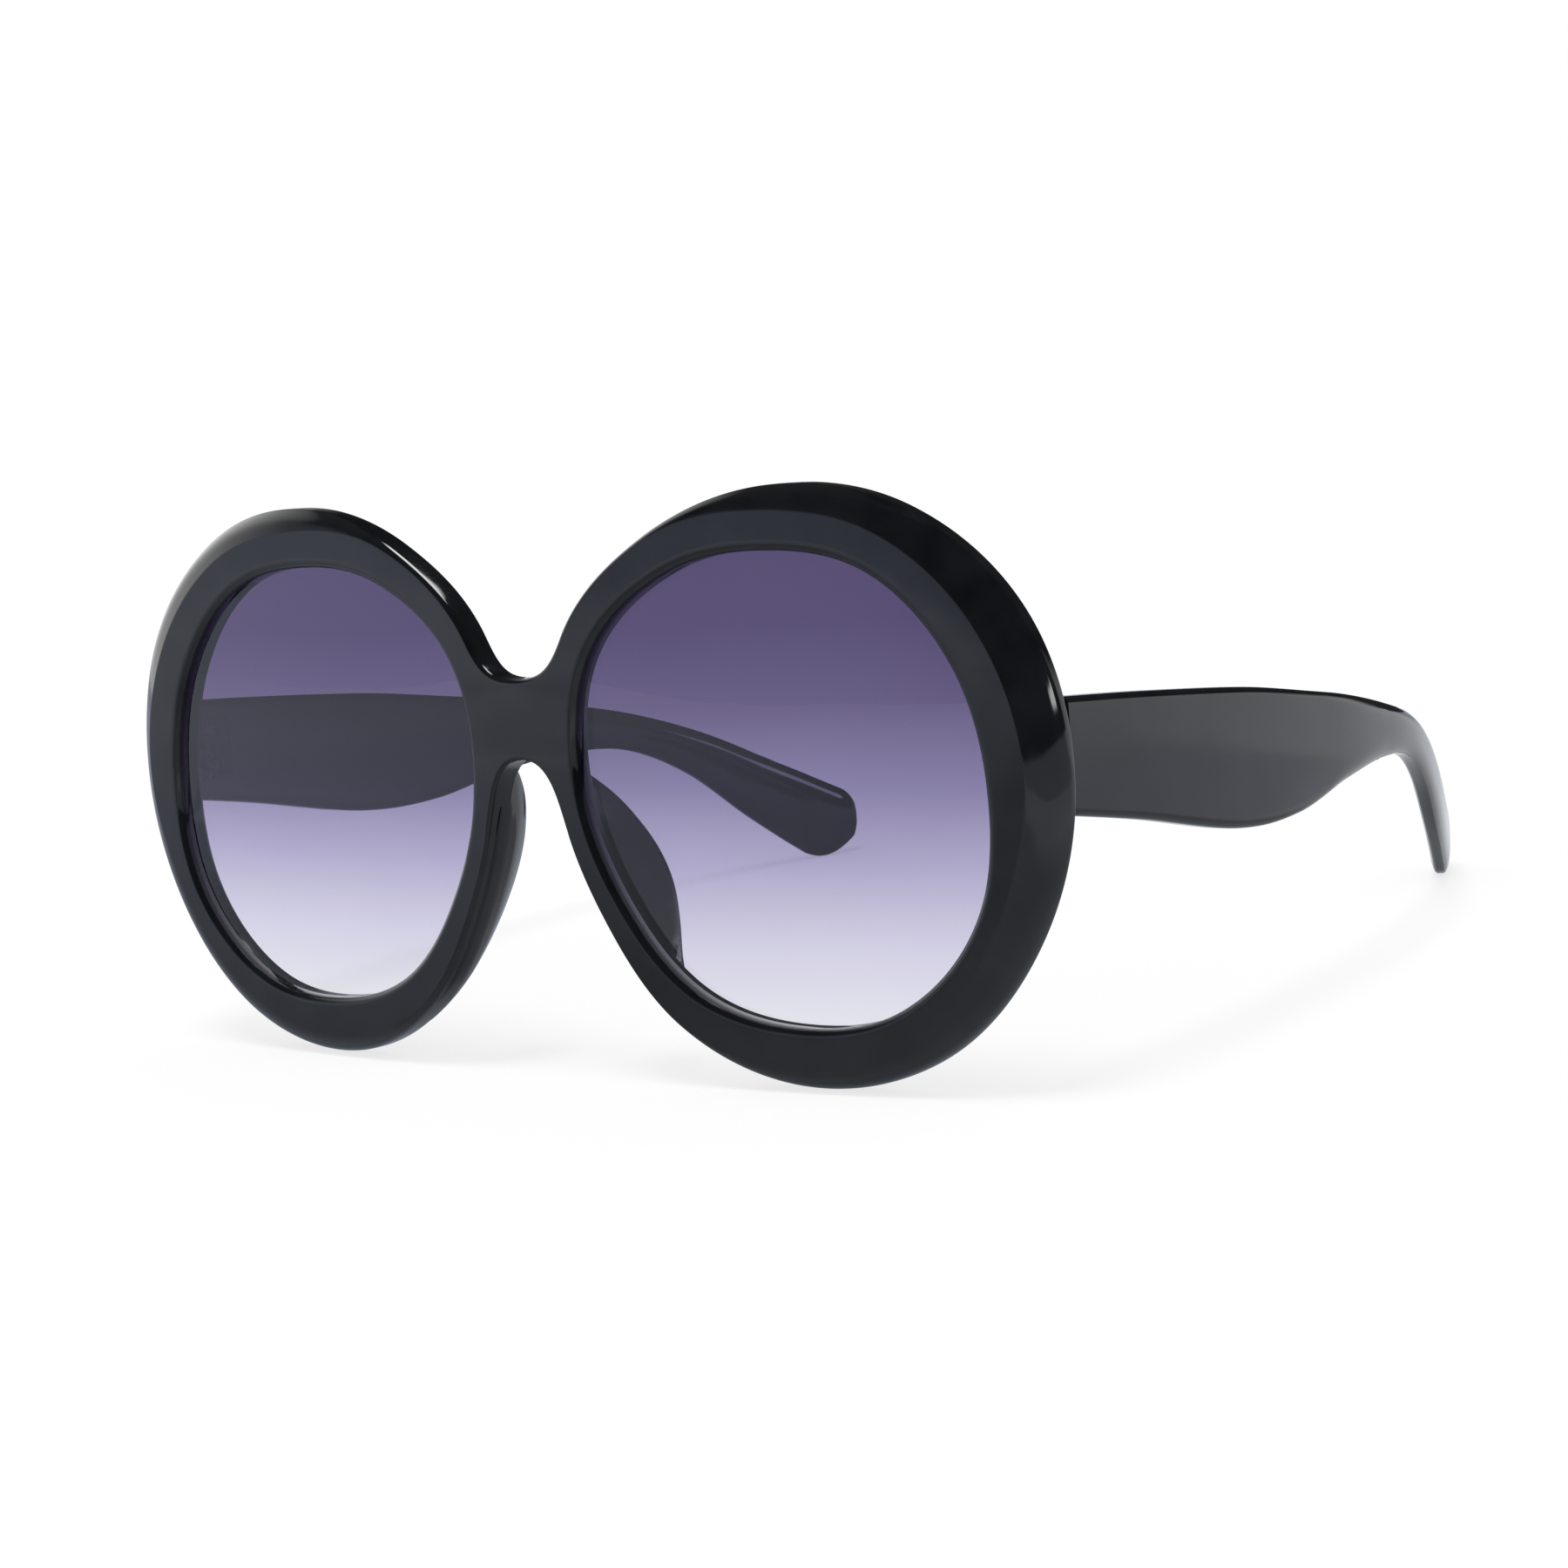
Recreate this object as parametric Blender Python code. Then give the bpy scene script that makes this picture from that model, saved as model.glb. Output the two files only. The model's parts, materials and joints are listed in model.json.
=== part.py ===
"""Oversized round sunglasses: one flat front with bevelled rims, two tinted lenses sprung into grooves,
cemented nose pads, and two folding temples on five-barrel hinges.

Lengths are metres and +Z is up. The wearer looks towards -Y, and the wearer's left is +X.
Outlines are drawn on the front's own plane: u runs out from the nose, v runs up from the lens centre
and d runs back from the front face. bend() curls that plane round the nose into space.
"""

import math

import bmesh
import bpy
from mathutils import Matrix, Vector
from mathutils.geometry import interpolate_bezier

# Front
LENS_CENTRE_U = 0.03815
OPENING_RADIUS = 0.0289
RIM_WIDTH = 0.0075
NOSE_THICKNESS = 0.0036
HINGE_THICKNESS = 0.0052
EDGE_ROUND = 0.0004
BRIDGE_TOP = 0.0133
BRIDGE_BOTTOM = 0.0034
NOTCH_FILLET = 0.0042
ARCH_FILLET = 0.0046
BEND_HALF = 0.007
wrap_angle = math.radians(3.47)

# A rounded edge as (inset, drop) from its corner, and the bevel's swell as (inset, depth) from its foot.
round_shares = ((0.0, 1.0), (0.3, 0.3), (1.0, 0.0))
bevel_profile_shares = ((1.0, 0.0), (0.5, 0.24), (0.2, 0.58), (0.0, 1.0))

# The clock of the lens: twelve places in equal steps, from the hinge side up over the brow to the nose.
opening_radius_shares = (0.99, 0.99, 0.99, 0.96, 1.01, 1.07, 1.01, 0.96, 0.98, 0.98, 1.03, 1.04)
rim_width_shares = (1.19, 1.29, 1.12, 1.00, 0.72, 0.61, 0.48, 0.50, 0.69, 0.99, 0.94, 0.90)
flat_face_shares = (0.60, 0.61, 0.64, 0.67, 0.88, 0.95, 0.95, 0.94, 0.88, 0.64, 0.50, 0.43)
bevel_depth_shares = (0.80, 0.55, 0.44, 0.42, 0.25, 0.06, 0.06, 0.08, 0.30, 0.70, 0.82, 0.86)

# Where the rim's outline leaves for the bridge, and where the lens opening lies beside the bridge.
notch_angle = math.radians(149)
arch_angle = math.radians(191)
beside_top_angle = math.radians(159)
beside_bottom_angle = math.radians(173)

# Lenses
LENS_THICKNESS = 0.0016
LENS_DOME = 0.0009
GROOVE_SETBACK = 0.0011
GROOVE_DEPTH = 0.0014
LENS_CLEARANCE = 0.00025

# Nose pads
PAD_HEIGHT = 0.0077
PAD_FLARE = 0.0054
PAD_GLUE_LINE = 0.0002
PAD_EDGE = 0.0005
PAD_END_HEIGHT = 0.0006
PAD_LEAN_OVER = 0.0002
pad_top_angle = math.radians(174)
pad_bottom_angle = math.radians(236)
pad_swell_shares = (0.0, 0.52, 0.79, 0.93, 0.95, 0.85, 0.65, 0.38, 0.0)

# The pad's section from its nose side over the crest to the lens side, as shares of flare, lean and height.
pad_profile_shares = (
    (0.0, 0.0, 0.0), (0.15, 0.0, 0.35), (0.55, 0.0, 0.78), (0.85, 0.0, 0.96), (0.85, 0.5, 1.0), (0.85, 1.0, 0.9),
)

# Hinges
HINGE_INSET = 0.0062
HINGE_V = 0.0028
HINGE_STANDOFF = 0.0020
BARREL_RADIUS = 0.0015
BARREL_HEIGHT = 0.00135
BARREL_GAP = 0.0002
LEAF_THICKNESS = 0.0008
LEAF_BORDER = 0.0002
LEAF_CLEARANCE = 0.00015
FRONT_LEAF_OUTER = 0.0042
TEMPLE_LEAF_AFT = 0.0076
PIVOT_RADIUS = 0.0005
PIVOT_CLEARANCE = 0.0002
PIVOT_HEAD_RADIUS = 0.00105
PIVOT_HEAD_HEIGHT = 0.0006
FIXING_RADIUS = 0.00045
FIXING_HEAD_RADIUS = 0.00085
FIXING_HEAD_HEIGHT = 0.0004
FIXING_LENGTH = 0.0024
FIXING_SPREAD = 0.0025
FRONT_FIXING_OUT = 0.0029
TEMPLE_FIXING_BACK = 0.0045
FIXING_CLEARANCE = 0.0002
SLOT_WIDTH = 0.0003
SLOT_DEPTH = 0.00025
neck_width_share = 0.7
screw_point_share = 0.4
head_edge_share = 0.25

# Temples
TEMPLE_LENGTH = 0.1234
TEMPLE_DEPTH = 0.0127
TEMPLE_THICKNESS = 0.0038
TEMPLE_END_GAP = 0.00025
TEMPLE_CURL = 0.0201
TEMPLE_EDGE_ROUND = 0.0010
TIP_ROUND = 0.0052
tip_thickness_share = 0.75

# Side view of the temple at places along its middle line: how far back, as a share of its length, how high
# above the hinge's middle and how deep across, as shares of its depth at the hinge.
temple_line_shares = (
    (0.000, 0.03, 1.05), (0.127, -0.12, 1.17), (0.286, -0.34, 1.33), (0.397, -0.42, 1.21),
    (0.508, -0.41, 0.87), (0.619, -0.47, 0.57), (0.714, -0.63, 0.44), (0.802, -1.00, 0.53),
    (0.889, -1.57, 0.76), (0.960, -2.03, 0.90),
)

# The inward curl of the sheet in equal steps of its length.
temple_curl_shares = (0.0, -0.03, -0.03, 0.01, 0.10, 0.28, 0.60, 1.0)

# Wire cores
CORE_RADIUS = 0.00055
CORE_CLEARANCE = 0.0002
CORE_OFFSET = 0.0003
core_reach_share = 0.62

OVERRUN = 0.0010
STATIONS = 34
TIP_STEPS = 5
CORE_SIDES = 6
ARC_COLUMNS = 58
FILLET_COLUMNS = 6
BRIDGE_COLUMNS = 3
LENS_COLUMNS = 48
LENS_RINGS = 4
PAD_STATIONS = 13
ROUND_SIDES = 24
SMALL_SIDES = 12
SMOOTH_ANGLE = math.radians(32)


def clear_scene():
    for thing in list(bpy.data.objects):
        bpy.data.objects.remove(thing, do_unlink=True)


def material(name, colour, roughness, metallic=0.0, transmission=0.0):
    made = bpy.data.materials.new(name)
    made.use_nodes = True
    shader = made.node_tree.nodes["Principled BSDF"]
    shader.inputs["Base Color"].default_value = (*colour, 1.0)
    shader.inputs["Roughness"].default_value = roughness
    shader.inputs["Metallic"].default_value = metallic
    shader.inputs["Transmission Weight"].default_value = transmission
    made.diffuse_color = (*colour, 1.0)
    return made


def around(shares, angle):
    """A smooth closed curve through equally spaced shares, read at an angle."""
    count = len(shares)
    place = (angle / math.tau * count) % count
    first = int(place)
    t = place - first
    a, b, c, e = (shares[(first + step) % count] for step in (-1, 0, 1, 2))
    return b + 0.5 * t * (c - a + t * (2 * a - 5 * b + 4 * c - e + t * (3 * (b - c) + e - a)))


def along(values, t):
    """A smooth open curve through equally spaced values, read at t from 0 to 1."""
    last = len(values) - 1
    place = min(max(t, 0.0), 1.0) * last
    first = min(int(place), last - 1)
    t = place - first
    b, c = values[first], values[first + 1]
    a = values[first - 1] if first else 2 * b - c
    e = values[first + 2] if first + 2 <= last else 2 * c - b
    return b + 0.5 * t * (c - a + t * (2 * a - 5 * b + 4 * c - e + t * (3 * (b - c) + e - a)))


# The front's plane

def bend(u, v, d):
    """A point of the front's plane in space: an arc across the nose, then straight to the hinge."""
    radius = BEND_HALF / wrap_angle
    turn = min(u, BEND_HALF) / radius
    beyond = max(u - BEND_HALF, 0.0)
    x = radius * math.sin(turn) + beyond * math.cos(turn)
    y = radius * (1 - math.cos(turn)) + beyond * math.sin(turn)
    return Vector((x - d * math.sin(turn), y + d * math.cos(turn), v))


def thickness_at(u):
    """The front's plate is thin at the nose and thicker towards the hinge, with a flat back."""
    return NOSE_THICKNESS + (HINGE_THICKNESS - NOSE_THICKNESS) * u / hinge_u()


def back_tilt():
    """How far the flat back turns from the X axis at the hinge."""
    return wrap_angle + math.atan((HINGE_THICKNESS - NOSE_THICKNESS) / hinge_u())


def hinge_u():
    """The hinge's axis lies in from the rim's outer edge."""
    return rim_point(0.0).x - HINGE_INSET


def opening_radius(angle):
    return OPENING_RADIUS * around(opening_radius_shares, angle)


def rim_width(angle):
    return RIM_WIDTH * around(rim_width_shares, angle)


def bevel_width(angle):
    return rim_width(angle) * (1 - around(flat_face_shares, angle))


def bevel_depth(u, angle):
    return thickness_at(u) * around(bevel_depth_shares, angle)


def lens_point(radius, angle):
    return Vector((LENS_CENTRE_U + radius * math.cos(angle), radius * math.sin(angle)))


def rim_point(angle):
    return lens_point(opening_radius(angle) + rim_width(angle), angle)


def rim_direction(angle):
    """The way along the rim's outline, for a growing angle."""
    step = math.radians(0.5)
    return (rim_point(angle + step) - rim_point(angle - step)).normalized()


def fillet(start, start_way, end, end_way, size, count):
    """Points of a smooth corner between two places on the outline, without its first point."""
    corner = (start, start + start_way * size, end - end_way * size, end)
    points = interpolate_bezier(*(p.to_3d() for p in corner), count + 1)
    return [p.to_2d() for p in points[1:]]


class Column:
    """One section of the front, from the lens opening out to the outline."""

    def __init__(self, outer, normal, angle, bevel, on_bridge=False):
        self.outer = outer
        self.normal = normal
        self.angle = angle
        self.bevel = bevel
        self.on_bridge = on_bridge

    def points(self):
        """The section as (u, v, d): outer edge from front to back, then the lens side from back to front."""
        depth = 0.0 if self.on_bridge else bevel_depth(self.outer.x, self.angle)
        rounding = 0.0 if self.on_bridge else EDGE_ROUND
        points = []
        for inset, deep in bevel_profile_shares:
            place = self.outer - self.normal * self.bevel * inset
            points.append((place.x, place.y, depth * deep))
        for inset, drop in round_shares:
            place = self.outer - self.normal * rounding * inset
            points.append((place.x, place.y, thickness_at(place.x) - rounding * drop))
        radius = opening_radius(self.angle)
        for out, drop in reversed(round_shares):
            place = lens_point(radius + EDGE_ROUND * out, self.angle)
            points.append((place.x, place.y, thickness_at(place.x) - EDGE_ROUND * drop))
        groove_end = GROOVE_SETBACK + LENS_THICKNESS + 2 * LENS_CLEARANCE
        for out, d in ((0.0, groove_end), (GROOVE_DEPTH, groove_end), (GROOVE_DEPTH, GROOVE_SETBACK),
                       (0.0, GROOVE_SETBACK)):
            points.append((*lens_point(radius + out, self.angle), d))
        for out, drop in round_shares:
            points.append((*lens_point(radius + EDGE_ROUND * out, self.angle), EDGE_ROUND * drop))
        return points


def front_columns():
    """Sections in order round one rim: up over the brow, along the notch, the bridge and the arch."""
    columns = []
    start = arch_angle - math.tau
    for index in range(ARC_COLUMNS + 1):
        angle = start + (notch_angle - start) * index / ARC_COLUMNS
        way = rim_direction(angle)
        columns.append(Column(rim_point(angle), Vector((way.y, -way.x)), angle, bevel_width(angle)))
    edge = bevel_width(notch_angle)
    notch = fillet(rim_point(notch_angle), rim_direction(notch_angle), Vector((0.0, BRIDGE_TOP)),
                   Vector((-1.0, 0.0)), NOTCH_FILLET, FILLET_COLUMNS)
    arch = fillet(Vector((0.0, BRIDGE_BOTTOM)), Vector((1.0, 0.0)), rim_point(arch_angle),
                  rim_direction(arch_angle), ARCH_FILLET, FILLET_COLUMNS)
    notch[-1].x = 0.0
    add_fillet(columns, rim_point(notch_angle), notch, notch_angle, beside_top_angle, edge)
    for index in range(1, BRIDGE_COLUMNS + 1):
        share = index / (BRIDGE_COLUMNS + 1)
        height = BRIDGE_TOP - edge + (BRIDGE_BOTTOM - BRIDGE_TOP + 2 * edge) * share
        angle = beside_top_angle + (beside_bottom_angle - beside_top_angle) * share
        columns.append(Column(Vector((0.0, height)), Vector((0.0, 0.0)), angle, 0.0, on_bridge=True))
    first = Vector((0.0, BRIDGE_BOTTOM))
    columns.append(Column(first, Vector((0.0, -1.0)), beside_bottom_angle, edge))
    add_fillet(columns, first, arch[:-1], beside_bottom_angle, arch_angle, edge, len(arch))
    return columns


def add_fillet(columns, start, points, first_angle, last_angle, edge, steps=None):
    """Sections at a fillet's points, each with the normal of the curve there."""
    steps = steps or len(points)
    path = [start, *points]
    for index in range(1, len(path)):
        after = path[min(index + 1, len(path) - 1)]
        way = (after - path[index - 1]).normalized()
        normal = Vector((way.y, -way.x))
        if path[index].x == 0.0:
            normal = Vector((0.0, 1.0))
        angle = first_angle + (last_angle - first_angle) * index / steps
        columns.append(Column(path[index], normal, angle, edge))


def front_half():
    """Vertices and faces of the half at +X, open where it meets the other half on the bridge."""
    columns = front_columns()
    sections = [column.points() for column in columns]
    size = len(sections[0])
    bridge = [index for index, column in enumerate(columns) if column.on_bridge]
    cut_strips = set(range(bridge[0] - 1, bridge[-1] + 1))
    outside_faces = len(bevel_profile_shares) + len(round_shares) - 1
    vertices = [bend(*point) for section in sections for point in section]
    faces = []
    for i in range(len(sections)):
        after = (i + 1) % len(sections)
        for j in range(size):
            if i in cut_strips and j < outside_faces:
                continue
            k = (j + 1) % size
            faces.append((i * size + j, i * size + k, after * size + k, after * size + j))
    return vertices, faces


# Shapes

def loft(sections, cap_start=True, cap_end=True):
    """Faces that join sections of equal length into a tube, with flat caps."""
    size = len(sections[0])
    vertices = [point for section in sections for point in section]
    faces = []
    for i in range(len(sections) - 1):
        for j in range(size):
            k = (j + 1) % size
            faces.append((i * size + j, (i + 1) * size + j, (i + 1) * size + k, i * size + k))
    if cap_start:
        faces.append(tuple(range(size)))
    if cap_end:
        faces.append(tuple(reversed(range((len(sections) - 1) * size, len(sections) * size))))
    return vertices, faces


def add_mesh(name, vertices, faces, look, parent=None, mirrored=False, helper=False):
    """An object from points in the front's space, mirrored to -X for the right-hand side."""
    side = Vector((-1.0, 1.0, 1.0)) if mirrored else Vector((1.0, 1.0, 1.0))
    placed = [point * side for point in vertices]
    if parent:
        placed = [point - parent.location for point in placed]
    mesh = bpy.data.meshes.new(name)
    mesh.from_pydata(placed, [], faces)
    tidy = bmesh.new()
    tidy.from_mesh(mesh)
    bmesh.ops.recalc_face_normals(tidy, faces=tidy.faces)
    tidy.to_mesh(mesh)
    tidy.free()
    made = bpy.data.objects.new(name, mesh)
    bpy.context.scene.collection.objects.link(made)
    made.parent = parent or bpy.data.objects["stand"]
    if helper:
        made.hide_render = True
        made.display_type = "WIRE"
        return made
    mesh.materials.append(look)
    mesh.shade_smooth()
    mesh.set_sharp_from_angle(angle=SMOOTH_ANGLE)
    return made


def boolean(target, tool, operation):
    cut = target.modifiers.new(tool.name, "BOOLEAN")
    cut.operation = operation
    cut.solver = "EXACT"
    cut.object = tool


def box_shape(low, high, frame):
    """A box between two corners of a frame."""
    corners = [Vector((x, y, z)) for x in (low[0], high[0]) for y in (low[1], high[1]) for z in (low[2], high[2])]
    faces = [(0, 1, 3, 2), (4, 6, 7, 5), (0, 4, 5, 1), (2, 3, 7, 6), (0, 2, 6, 4), (1, 5, 7, 3)]
    return [frame @ corner for corner in corners], faces


def turned_shape(profile, frame, sides):
    """A turned piece about a frame's z axis, from a profile of (radius, height) that starts on the axis."""
    vertices = [frame @ Vector((0.0, 0.0, profile[0][1]))]
    for radius, height in profile:
        for index in range(sides):
            angle = math.tau * index / sides
            vertices.append(frame @ Vector((radius * math.cos(angle), radius * math.sin(angle), height)))
    vertices.append(frame @ Vector((0.0, 0.0, profile[-1][1])))
    faces = []
    for index in range(sides):
        after = (index + 1) % sides
        faces.append((0, 1 + after, 1 + index))
        for ring in range(len(profile) - 1):
            low = 1 + ring * sides
            faces.append((low + index, low + after, low + sides + after, low + sides + index))
        top = 1 + (len(profile) - 1) * sides
        faces.append((top + index, top + after, len(vertices) - 1))
    return vertices, faces


def joined(shapes):
    """Several separate shapes as one list of vertices and faces."""
    vertices = []
    faces = []
    for points, sides in shapes:
        start = len(vertices)
        vertices += points
        faces += [tuple(start + index for index in face) for face in sides]
    return vertices, faces


# Lens and nose pad

def lens_shape():
    """A lens with a flat edge that follows the groove, and a low dome inside it."""
    front = GROOVE_SETBACK + LENS_CLEARANCE
    layers = []
    for face in (front, front + LENS_THICKNESS):
        for ring in range(1, LENS_RINGS + 1):
            share = ring / LENS_RINGS
            rise = LENS_DOME * (1 - share * share)
            layer = []
            for index in range(LENS_COLUMNS):
                angle = math.tau * index / LENS_COLUMNS
                radius = (opening_radius(angle) + GROOVE_DEPTH - LENS_CLEARANCE) * share
                place = lens_point(radius, angle)
                layer.append(bend(place.x, place.y, face - rise))
            layers.append(layer)
        middle = lens_point(0.0, 0.0)
        layers.append([bend(middle.x, middle.y, face - LENS_DOME)])
    front_rings, front_middle = layers[:LENS_RINGS], layers[LENS_RINGS]
    back_rings, back_middle = layers[LENS_RINGS + 1:-1], layers[-1]
    vertices = [*front_middle, *(p for ring in front_rings for p in ring)]
    vertices += [*(p for ring in reversed(back_rings) for p in ring), *back_middle]
    faces = []
    for index in range(LENS_COLUMNS):
        after = (index + 1) % LENS_COLUMNS
        faces.append((0, 1 + index, 1 + after))
        for ring in range(2 * LENS_RINGS - 1):
            low = 1 + ring * LENS_COLUMNS
            high = low + LENS_COLUMNS
            faces.append((low + index, high + index, high + after, low + after))
        last = 1 + (2 * LENS_RINGS - 1) * LENS_COLUMNS
        faces.append((last + index, len(vertices) - 1, last + after))
    return vertices, faces


def pad_shape():
    """A nose pad cemented behind the rim's nasal side: a lobe that leans out over the lens as it rises."""
    sections = []
    for index in range(PAD_STATIONS):
        t = index / (PAD_STATIONS - 1)
        angle = pad_top_angle + (pad_bottom_angle - pad_top_angle) * t
        swell = along(pad_swell_shares, t)
        height = PAD_END_HEIGHT + (PAD_HEIGHT - PAD_END_HEIGHT) * swell
        flare = PAD_FLARE * height / PAD_HEIGHT
        lean = PAD_LEAN_OVER * height / PAD_HEIGHT
        nose = rim_width(angle)
        section = [(nose - flare * out - lean * over, height * rise) for out, over, rise in pad_profile_shares]
        crest = section[-1][0]
        section = [(PAD_EDGE, 0.0), *section, ((PAD_EDGE + crest) / 2, height / 2)]
        points = []
        for out, rise in section:
            place = lens_point(opening_radius(angle) + out, angle)
            points.append(bend(place.x, place.y, thickness_at(place.x) + PAD_GLUE_LINE + rise))
        sections.append(points)
    return loft(sections)


# Hinge

def hinge_axis():
    """The hinge's centre: it stands off the flat back by the same length as off the temple's inner face."""
    seat = bend(hinge_u(), HINGE_V, thickness_at(hinge_u()))
    tilt = back_tilt()
    return seat + Vector((-math.sin(tilt), math.cos(tilt), 0.0)) * HINGE_STANDOFF


def front_leaf_frame():
    """Axes at the hinge's centre: x out along the rim's back, y back off it, z up."""
    return Matrix.Translation(hinge_axis()) @ Matrix.Rotation(back_tilt(), 4, "Z")


def temple_leaf_frame():
    """Axes at the hinge's centre, turned so that -y points at the temple's inner face and x points back."""
    return Matrix.Translation(hinge_axis()) @ Matrix.Rotation(math.radians(90), 4, "Z")


def stack_height():
    """The height of all five barrels with the gaps between them."""
    return 5 * BARREL_HEIGHT + 4 * BARREL_GAP


def barrel_slots(of_front):
    """The heights where a leaf's barrels start: the front leaf has the 1st, 3rd and 5th of five."""
    pitch = BARREL_HEIGHT + BARREL_GAP
    return [pitch * index - stack_height() / 2 for index in ((0, 2, 4) if of_front else (1, 3))]


def barrels_shape(of_front, frame):
    """Barrels with the neck that ties each one to its leaf, which lies at -y."""
    neck = HINGE_STANDOFF + LEAF_THICKNESS / 2
    outline = []
    for index in range(ROUND_SIDES // 2 + 1):
        angle = math.pi * index / (ROUND_SIDES // 2)
        outline.append((BARREL_RADIUS * math.cos(angle), BARREL_RADIUS * math.sin(angle)))
    outline += [(-BARREL_RADIUS * neck_width_share, -neck), (BARREL_RADIUS * neck_width_share, -neck)]
    shapes = []
    for low in barrel_slots(of_front):
        layers = [[frame @ Vector((x, y, z)) for x, y in outline] for z in (low, low + BARREL_HEIGHT)]
        shapes.append(loft(layers))
    return joined(shapes)


def leaf_fixings(of_front, frame):
    """Frames at the fixing screws' heads, flush with the leaf's face, z pointing out of the seat."""
    along_leaf = FRONT_FIXING_OUT if of_front else TEMPLE_FIXING_BACK
    places = []
    for height in (-FIXING_SPREAD, FIXING_SPREAD):
        seat = Matrix.Translation((along_leaf, -HINGE_STANDOFF, height))
        places.append(frame @ seat @ Matrix.Rotation(math.radians(-90), 4, "X"))
    return places


def drill_shape(place):
    """The stepped hole of a fixing screw."""
    head = FIXING_HEAD_RADIUS + FIXING_CLEARANCE
    shank = FIXING_RADIUS + FIXING_CLEARANCE
    step = -FIXING_HEAD_HEIGHT - FIXING_CLEARANCE
    bottom = -FIXING_LENGTH - FIXING_CLEARANCE
    profile = [(shank, bottom), (shank, step), (head, step), (head, OVERRUN)]
    return turned_shape(profile, place, SMALL_SIDES)


def screw_shape(place):
    """A fixing screw: a flat head flush with the leaf, and a shank that tapers to a blunt point."""
    profile = [
        (FIXING_RADIUS * screw_point_share, -FIXING_LENGTH), (FIXING_RADIUS, FIXING_RADIUS - FIXING_LENGTH),
        (FIXING_RADIUS, -FIXING_HEAD_HEIGHT), (FIXING_HEAD_RADIUS, -FIXING_HEAD_HEIGHT),
        (FIXING_HEAD_RADIUS, 0.0),
    ]
    return turned_shape(profile, place, SMALL_SIDES)


def slot_shape(place, radius):
    """The cutter of a driver slot across a head whose top is the frame's z = 0."""
    half = SLOT_WIDTH / 2
    return box_shape((-radius - OVERRUN, -half, -SLOT_DEPTH), (radius + OVERRUN, half, OVERRUN), place)


def pivot_frame():
    top = stack_height() / 2 + BARREL_GAP + PIVOT_HEAD_HEIGHT
    return Matrix.Translation(hinge_axis()) @ Matrix.Translation((0.0, 0.0, top))


def pivot_shape():
    """The pivot screw: a cheese head over the top barrel and a plain shank down through all five."""
    bottom = -PIVOT_HEAD_HEIGHT - BARREL_GAP - stack_height()
    profile = [
        (PIVOT_RADIUS * screw_point_share, bottom), (PIVOT_RADIUS, bottom + PIVOT_RADIUS),
        (PIVOT_RADIUS, -PIVOT_HEAD_HEIGHT), (PIVOT_HEAD_RADIUS, -PIVOT_HEAD_HEIGHT),
        (PIVOT_HEAD_RADIUS, -PIVOT_HEAD_HEIGHT * head_edge_share),
        (PIVOT_HEAD_RADIUS * (1 - head_edge_share), 0.0),
    ]
    return turned_shape(profile, pivot_frame(), ROUND_SIDES // 2)


def leaf_box(of_front, frame, grow=0.0, lift=0.0):
    """A leaf's plate, or its pocket when grown, with its outer face at the seat."""
    inner = BARREL_RADIUS * neck_width_share + LEAF_BORDER + grow
    outer = (FRONT_LEAF_OUTER if of_front else TEMPLE_LEAF_AFT) + grow
    half = stack_height() / 2 + LEAF_BORDER + grow
    low = (-inner, -HINGE_STANDOFF - LEAF_THICKNESS - grow, -half)
    high = (outer, -HINGE_STANDOFF + lift, half)
    return box_shape(low, high, frame)


def add_leaf(name, of_front, steel, parent, mirrored):
    """A hinge leaf: plate, barrels, pivot bore and two stepped screw holes."""
    frame = front_leaf_frame() if of_front else temple_leaf_frame()
    leaf = add_mesh(name, *leaf_box(of_front, frame), steel, parent, mirrored)
    barrels = add_mesh(name + "_barrels", *barrels_shape(of_front, frame), None, parent, mirrored, helper=True)
    bore_radius = PIVOT_RADIUS + PIVOT_CLEARANCE
    reach = stack_height() / 2 + OVERRUN
    bore = turned_shape([(bore_radius, -reach), (bore_radius, reach)], frame, SMALL_SIDES)
    drills = [drill_shape(place) for place in leaf_fixings(of_front, frame)]
    holes = add_mesh(name + "_holes", *joined([bore, *drills]), None, parent, mirrored, helper=True)
    boolean(leaf, barrels, "UNION")
    boolean(leaf, holes, "DIFFERENCE")


def add_screw(name, shape, place, radius, steel, parent, mirrored):
    screw = add_mesh(name, *shape, steel, parent, mirrored)
    slot = add_mesh(name + "_slot", *slot_shape(place, radius), None, parent, mirrored, helper=True)
    boolean(screw, slot, "DIFFERENCE")


# Temple

def temple_start():
    """The y at which the middle of the temple's sheet ends, close behind the rim's back."""
    off_rim = (TEMPLE_END_GAP - HINGE_STANDOFF) / math.cos(back_tilt())
    out = HINGE_STANDOFF + TEMPLE_THICKNESS / 2
    return hinge_axis().y + off_rim + out * math.tan(back_tilt())


def temple_line(t):
    """The middle line in side view at t from 0 to 1, as (y, z), and the depth across it."""
    back, high, deep = (along([row[column] for row in temple_line_shares], t) for column in range(3))
    place = Vector((temple_start() + TEMPLE_LENGTH * back, HINGE_V + TEMPLE_DEPTH * high))
    return place, TEMPLE_DEPTH * deep


def line_way(t):
    """The direction of the middle line in side view."""
    step = 1 / (STATIONS * 2)
    return (temple_line(t + step)[0] - temple_line(t - step)[0]).normalized()


def sheet_point(y, z, off):
    """A point off the middle of the temple's sheet, which is cut flat and then curled inwards."""
    step = TEMPLE_LENGTH / STATIONS

    def inward(place):
        return TEMPLE_CURL * along(temple_curl_shares, (place - temple_start()) / TEMPLE_LENGTH)

    turn = math.atan2(inward(y + step) - inward(y - step), 2 * step)
    middle = hinge_axis().x + HINGE_STANDOFF + TEMPLE_THICKNESS / 2 - inward(y)
    return Vector((middle + off * math.cos(turn), y + off * math.sin(turn), z))


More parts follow.
